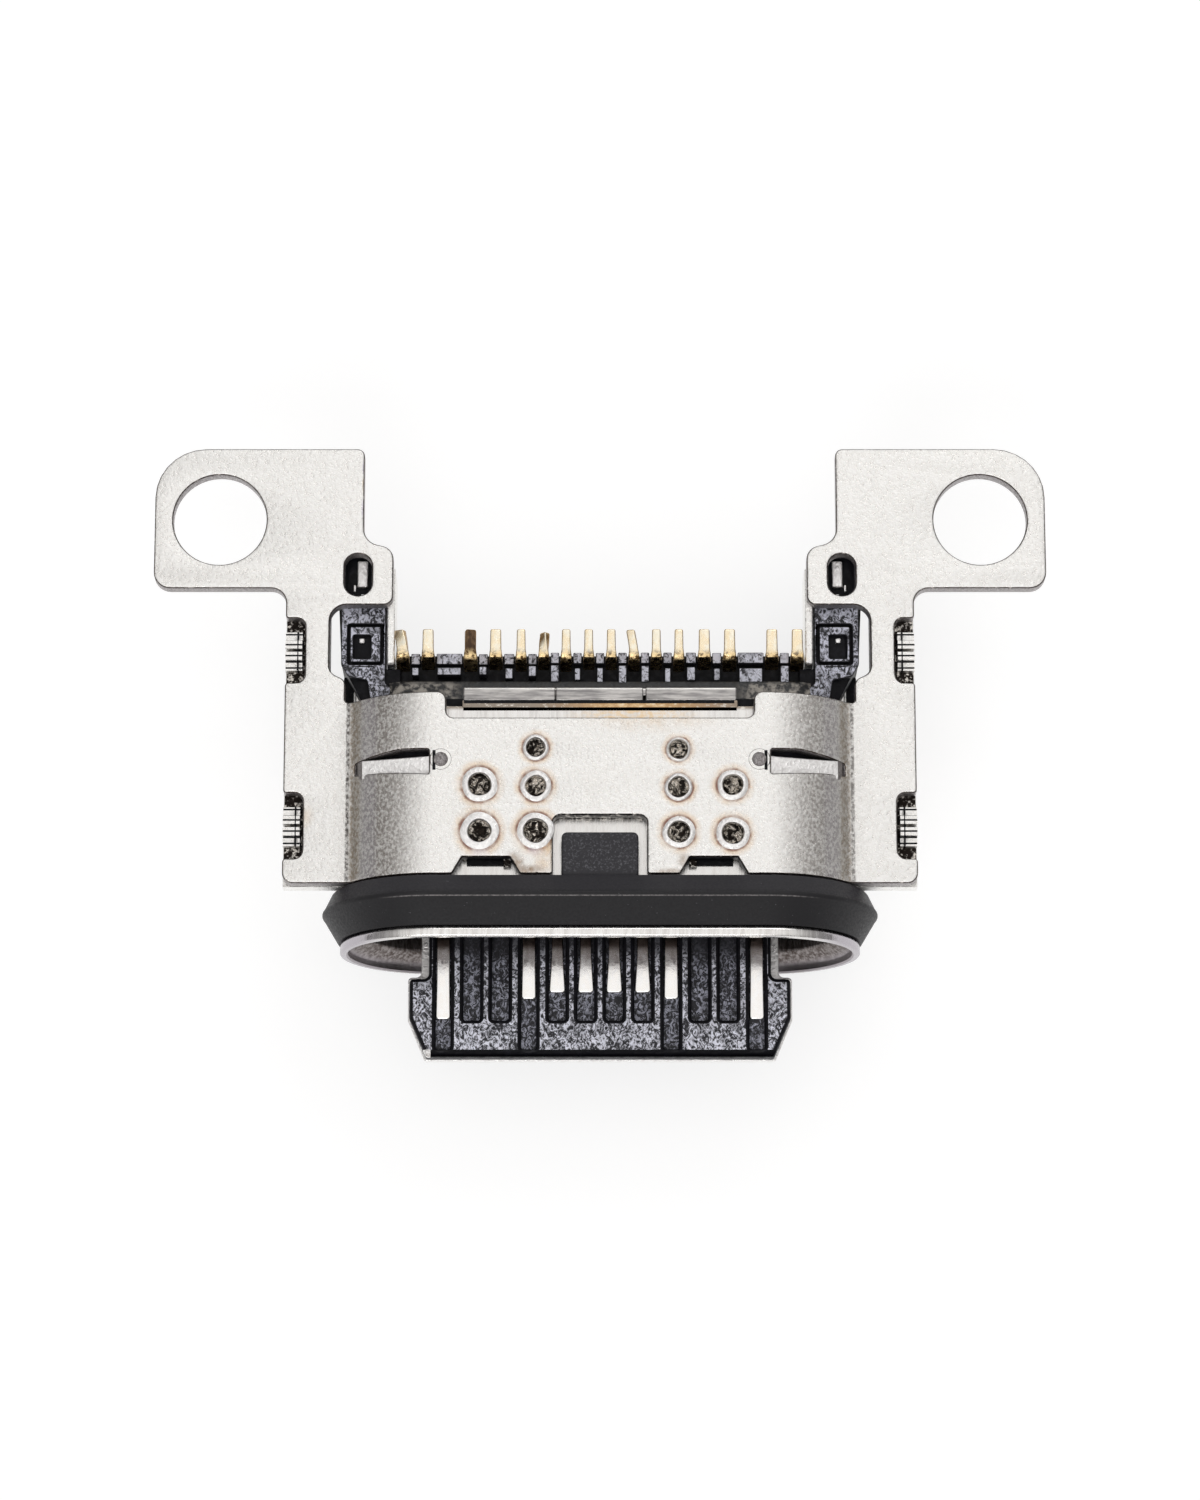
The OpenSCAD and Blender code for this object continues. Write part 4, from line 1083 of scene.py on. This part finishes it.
def make_contact(side, k):
    """Stamped strip: level on the tongue, fanned out in the root, up a ramp and level again at the tail."""
    lean, twist, dip, lost = BENT.get((side, k), (0, 0, 0, 0))
    level = AXIS_Z + side * (TONGUE_T / 2 - 0.03 - CONTACT_T / 2)
    top = CONTACT_T / 2
    ramp_y = RAMP_TOP_Y - (top - level) / 2.6
    x0, x1, w = contact_x(side, k), tail_x(side, k), tail_w(k)
    start = TIP_Y + (0.68 if k in GROUND else 1.04 if k in POWER else 1.155)
    end = TAIL_TIP_Y - lost
    wide, narrow = (0.25, 0.23) if k in GROUND + POWER else (0.28, 0.2)
    path = [
        (x0, start, wide, 0.05),
        (x0, start + 0.66, narrow, 0.1),
        (x0, FAN_Y0, w + 0.04, 0.1),
        (x1, FAN_Y1, w + 0.04, 0.1),
        (x1, COMB_Y1 - 0.12, w + 0.04, 0.04),
        (x1, COMB_Y1 + 0.02, w, 0.04),
        (x1, end, w - 0.01, 0.035),
    ]
    outline = [(x - width / 2, y, r) for x, y, width, r in path]
    outline += [(x + width / 2, y, r) for x, y, width, r in reversed(path)]
    strip = plate(rounded(outline, 4), [], -CONTACT_T / 2, CONTACT_T / 2, 0.022)
    bends = [ramp_y - 0.1 + (RAMP_TOP_Y + 0.2 - ramp_y) * i / 14 for i in range(15)]
    cut_lines(strip, 1, bends + [COMB_Y1 + 0.06 * i for i in range(6)])

    def height(y):
        t = min(max((y - ramp_y) / (RAMP_TOP_Y - ramp_y), 0), 1)
        return level + (top - level) * (t * t * (3 - 2 * t))

    def form(x, y, n):
        slope = (height(y + 0.01) - height(y - 0.01)) / 0.02
        size = math.hypot(1, slope)
        yy, zz = y - n * slope / size, height(y) + n / size
        out = min(max((y - COMB_Y1 + 0.05) / (end - COMB_Y1), 0), 1)
        if out > 0 and (lean or twist or dip):
            a = math.radians(twist) * out
            dx, dz = x - x1, zz - top
            x = x1 + dx * math.cos(a) - dz * math.sin(a) + lean * out**1.5
            zz = top + dx * math.sin(a) + dz * math.cos(a) + dip * out * out
        return Vector((x, yy, zz))

    reshape(strip, form)
    name = f"{'a' if side == UPPER else 'b'}{k}"
    materials = [CONTACT, TAIL]
    if (side, k) == (LOWER, 9):
        materials = [BURNT]
    else:
        paint(strip, 1, lambda f: centre(f).y > COMB_Y1 - 1.2)
    dressed(f"terminal_{name}", f"contact_{name}", [strip], materials)


for contact_side in (UPPER, LOWER):
    for position in USED:
        make_contact(contact_side, position)


# -------- rear housing, potting, shield

COMB_HALF = 3.56
FLOOR_Z = housing_lo.z + 0.25
LEDGE_Z = -0.08
STEP_Z = 0.04
WELL_FLOOR_Z = AXIS_Z + 0.42
BLOCK_IN = 3.81
BLOCK_OUT = housing_hi.x
BLOCK_TOP_Z = -0.05


def teeth():
    """Bars of the comb between the wells: a low rear row and a taller, chipped front row."""
    rng = random.Random(5)
    wells = sorted((tail_x(s, k), tail_w(k) / 2 + 0.045) for s in (UPPER, LOWER) for k in USED)
    edges = [-COMB_HALF, *(x + way * half for x, half in wells for way in (-1, 1)), COMB_HALF]
    parts = []
    rear_front = COMB_Y1 - 0.2
    front_rear = rear_front - 0.06
    low = WELL_FLOOR_Z - 0.05
    for a, b in zip(edges[::2], edges[1::2]):
        if b - a < 0.03:
            continue
        worn = 0.0 if (a + b) / 2 > -1.2 else 0.08
        top = LEDGE_Z - worn + rng.uniform(-0.02, 0.01)
        parts.append(bar(a, rear_front, low, b, COMB_Y1, top, 0.018))
        sag = rng.uniform(0.0, 0.05)
        foot = POTTING_Y1 + rng.uniform(-0.03, 0.05) + worn
        parts.append(bar(a + sag / 2, foot, low, b - sag / 2, front_rear - sag, STEP_Z - sag, 0.02))
    return parts


def end_block(side):
    """End block under a tab: a pale top with a ring groove, a window, and a slot over the plate's arm."""
    y0, y1 = COVER_Y1 + 0.03, housing_hi.y
    x, y, top_z, out = ARM_X, TAB_Y0, BLOCK_TOP_Z, BLOCK_OUT
    wall_y = y - 1.06
    body_corners = [
        (COMB_HALF - 0.02, y0, 0),
        (out - 0.42, y0, 0.05),
        (out - 0.1, y0 + 0.62, 0.1),
        (out, y0 + 0.8, 0.1),
        (out, y + 0.1, 0.05),
        (out, y1, 0.1),
        (BLOCK_IN, y1, 0.1),
        (BLOCK_IN, wall_y, 0.02),
        (COMB_HALF - 0.02, wall_y, 0),
    ]
    top_corners = [
        (COMB_HALF + 0.02, y0 + 0.2, 0.1),
        (x - 0.16, y - 1.7, 0.1),
        (x - 0.1, y - 1.3, 0.05),
        (out - 0.12, y - 1.22, 0.05),
        (out, y - 1.0, 0.1),
        (out, y1, 0.1),
        (BLOCK_IN, y1, 0.1),
        (BLOCK_IN, y - 1.35, 0.05),
    ]
    window = rect(x - 0.16, y - 0.90, x + 0.16, y - 0.46, 0.03, 3)
    slot = rect(x - 0.3, -1.5, x + 0.3, -0.6, 0.1, 3)
    groove = rect(x - 0.38, y - 1.01, x + 0.26, y - 0.26, 0.05, 3)
    land = rect(x - 0.33, y - 0.96, x + 0.21, y - 0.31, 0.03, 3)
    body = plate(rounded(body_corners, 4), [], FLOOR_Z, top_z - 0.12, 0.02)
    top = plate(rounded(top_corners, 4), [groove, slot], top_z - 0.15, top_z, 0.025)
    inner = plate(land, [window], top_z - 0.15, top_z - 0.005, 0.02)
    seam = bar(x - 0.22, wall_y, top_z - 0.02, x + 0.12, y - 1.035, top_z + 0.001, 0.005)
    corner = bar(out - 0.5, y0, FLOOR_Z, out - 0.02, y0 + 0.7, AXIS_Z, 0.03)
    glint_z = top_z - 0.13
    glints = [
        (x - 0.05, y - 0.6, glint_z, x + 0.06, y - 0.5, top_z - 0.06, 0.03),
        (x - 0.095, -1.15, glint_z, x + 0.095, -0.66, top_z - 0.02, 0.03),
        (x - 0.09, -1.3, glint_z, x + 0.03, -1.27, top_z - 0.05, 0.01),
        (x + 0.12, -1.22, glint_z, x + 0.16, -1.1, top_z - 0.05, 0.01),
        (x + 0.12, y0 + 0.2, AXIS_Z, x + 0.16, y0 + 0.5, AXIS_Z + 0.1, 0.015),
    ]
    # The corner block is near-black, painted shade in a shaded void; the glints are pale bars, painted
    # highlights.
    parts = [paint(body, 1), top, inner, paint(seam, 1), paint(corner, 1)]
    parts += [paint(bar(*glint), 2) for glint in glints]
    return [reshape(part, lambda x, y, z: Vector((side * x, y, z))) for part in parts]


def make_housing():
    """The plug in the shell, the comb's floor, its teeth and the end blocks."""
    plug_front = RIM_Y + 3.0
    r = BORE_R - 0.03
    section = [(0.02, plug_front), (r - 0.06, plug_front), (r, plug_front + 0.06)]
    section += [(r, COVER_Y1), (0.02, COVER_Y1)]
    parts = [stadium_sweep(section, flat_steps=2)]
    for low, rear, high in (
        (FLOOR_Z, COMB_Y1, WELL_FLOOR_Z),
        (WELL_FLOOR_Z - 0.1, POTTING_Y1, STEP_Z - 0.03),
    ):
        parts.append(bar(-COMB_HALF, COVER_Y1, low, COMB_HALF, rear, high, 0.03))
    # The plug and the comb's floors are near-black, painted shade in the wells; the teeth get the lighter
    # plastic of lit tops.
    parts = [paint(part, 1) for part in parts] + [paint(tooth, 3) for tooth in teeth()]
    for side in (1, -1):
        parts += end_block(side)
    dressed("comb_housing", "rear_housing", parts, [HOUSING, BLACK_AND_SHADOW, WELD_RING_AND_HIGHLIGHT, TOOTH])


def make_potting():
    """Band of cured resin with a soft crown, between the shield and the comb."""
    y0, y1 = COVER_Y1 + 0.02, POTTING_Y1
    bed = potting_lo.z
    section = [(y0, bed), (y1, bed), (y1, STEP_Z - 0.03), (y1 - 0.06, STEP_Z + 0.01)]
    section += [(y0 + 0.12, STEP_Z + 0.04), (y0, STEP_Z + 0.1)]
    ends = []
    for x, drop in ((-3.74, 0.12), (-3.6, 0.03), (-3.3, 0.0), (3.3, 0.0), (3.6, 0.03), (3.74, 0.12)):
        ends.append([(x, y, z if z == bed else z - drop) for y, z in section])
    band = ring_mesh(ends, cyclic=False)
    dressed("cured_resin", "potting", [band], [RESIN])


def make_shield():
    """Angled plate behind the shell, split on the right and scored on the left."""
    top = AXIS_Z + TUBE_R
    y0, y1 = COVER_Y1 - 0.09, SHIELD_Y1
    parts = []
    for x0, x1 in ((-2.4, -0.782), (-0.778, 0.76), (0.80, 2.4)):
        outline = rounded([(x0, y0, 0.02), (x1, y0, 0.03), (x1, y1, 0.03), (x0, y1, 0.03)], 4)
        flap = plate(outline, [], top - 0.15, top, 0.03)
        # The flaps' front faces carry mottled painted shade.
        parts.append(paint(flap, 1, lambda f: f.normal.y < -0.3))
    parts.append(bar(-2.38, y1 - 0.14, shield_lo.z, 2.38, y1, top - 0.05, 0.03))
    # Dark bar along the flaps' front: painted shadow.
    parts.append(paint(bar(-2.39, y0 - 0.05, top - 0.1, 2.36, y0 + 0.01, top + 0.004, 0.008), 2))
    dressed("rear_plate", "rear_shield", parts, [SHIELD, MOTTLED_SHADE, BLACK_AND_SHADOW])


make_housing()
make_potting()
make_shield()


# -------- what keeps its CAD shape


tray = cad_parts["lower_shell"].data
tray.materials.clear()
tray.materials.append(LOWER_NICKEL)


# -------- studio


def aimed(name, data, location, back):
    """New camera or lamp with its back to a direction."""
    thing = placed(name, data)
    thing.location = location
    thing.rotation_mode = "QUATERNION"
    thing.rotation_quaternion = (-back).to_track_quat("-Z", "Y")
    return thing


def make_camera():
    elevation = math.radians(76)
    target = Vector((0, -4.156, 0)) * MM
    frame_height = 26.5 * MM
    data = bpy.data.cameras.new("camera")
    data.lens = 120
    data.sensor_width = 36
    distance = data.lens / data.sensor_width * frame_height
    data.clip_start = distance * 0.05
    data.clip_end = distance * 50
    back = Vector((0, -math.cos(elevation), math.sin(elevation)))
    bpy.context.scene.camera = aimed("camera", data, target + back * distance, back)


def make_world():
    """Soft sky: white overhead, dimmer towards the horizon."""
    world = bpy.data.worlds.new("studio")
    bpy.context.scene.world = world
    world.use_nodes = True
    tree = world.node_tree
    sky = tree.nodes["Background"]
    kinds = ("TexCoord", "SeparateXYZ", "ValToRGB")
    place, split, ramp = [tree.nodes.new("ShaderNode" + kind) for kind in kinds]
    tree.links.new(place.outputs["Generated"], split.inputs[0])
    tree.links.new(split.outputs[2], ramp.inputs["Fac"])
    stops = ((0.0, 0.30), (0.3, 0.27), (0.55, 0.40), (0.85, 0.78), (0.95, 0.97), (1.0, 1.0))
    elements = ramp.color_ramp.elements
    for position, level in stops[1:-1]:
        elements.new(position)
    for element, (position, level) in zip(elements, stops):
        element.position = position
        element.color = (level, level * 0.985, level * 0.975, 1)
    tree.links.new(ramp.outputs["Color"], sky.inputs["Color"])


def make_floor():
    """White floor: it shows as paper white with a faint shadow, and lights the part as plain white paper."""
    size, z = 2000 * MM, seal_lo.z * MM
    mesh = bpy.data.meshes.new("floor")
    mesh.from_pydata([(x, y, z) for x, y in rect(-size, -size, size, size)], [], [(0, 1, 2, 3)])
    floor = placed("floor", mesh)
    n = Nodes("floor_white")
    plain = n.tree.nodes["Principled BSDF"]
    shown = n.make("BsdfPrincipled")
    n.fill(plain, Base_Color=(0.85, 0.85, 0.85, 1), Roughness=0.9)
    n.fill(shown, Base_Color=(0.38, 0.38, 0.38, 1), Roughness=0.9, Specular_IOR_Level=0.0)
    n.fill(shown, Emission_Color=(1, 1, 1, 1), Emission_Strength=0.72)
    path = n.make("LightPath").outputs
    seen = n.math("MAXIMUM", path["Is Camera Ray"], path["Is Glossy Ray"])
    seen = n.math("MAXIMUM", seen, path["Is Transmission Ray"])
    mix = n.make("MixShader", seen, plain.outputs[0], shown.outputs[0])
    n.tree.links.new(mix.outputs[0], n.tree.nodes["Material Output"].inputs["Surface"])
    mesh.materials.append(n.material)


def make_lamps():
    for name, place, size, power in (
        ("key", (-30, -120, 110), 90, 0.06),
        ("fill", (30, 120, 100), 90, 0.04),
    ):
        data = bpy.data.lights.new(name, "AREA")
        data.size = size * MM
        data.energy = power
        location = Vector(place) * MM
        aimed(name, data, location, location)


make_camera()
make_world()
make_floor()
make_lamps()
bpy.context.scene.view_settings.view_transform = "Standard"
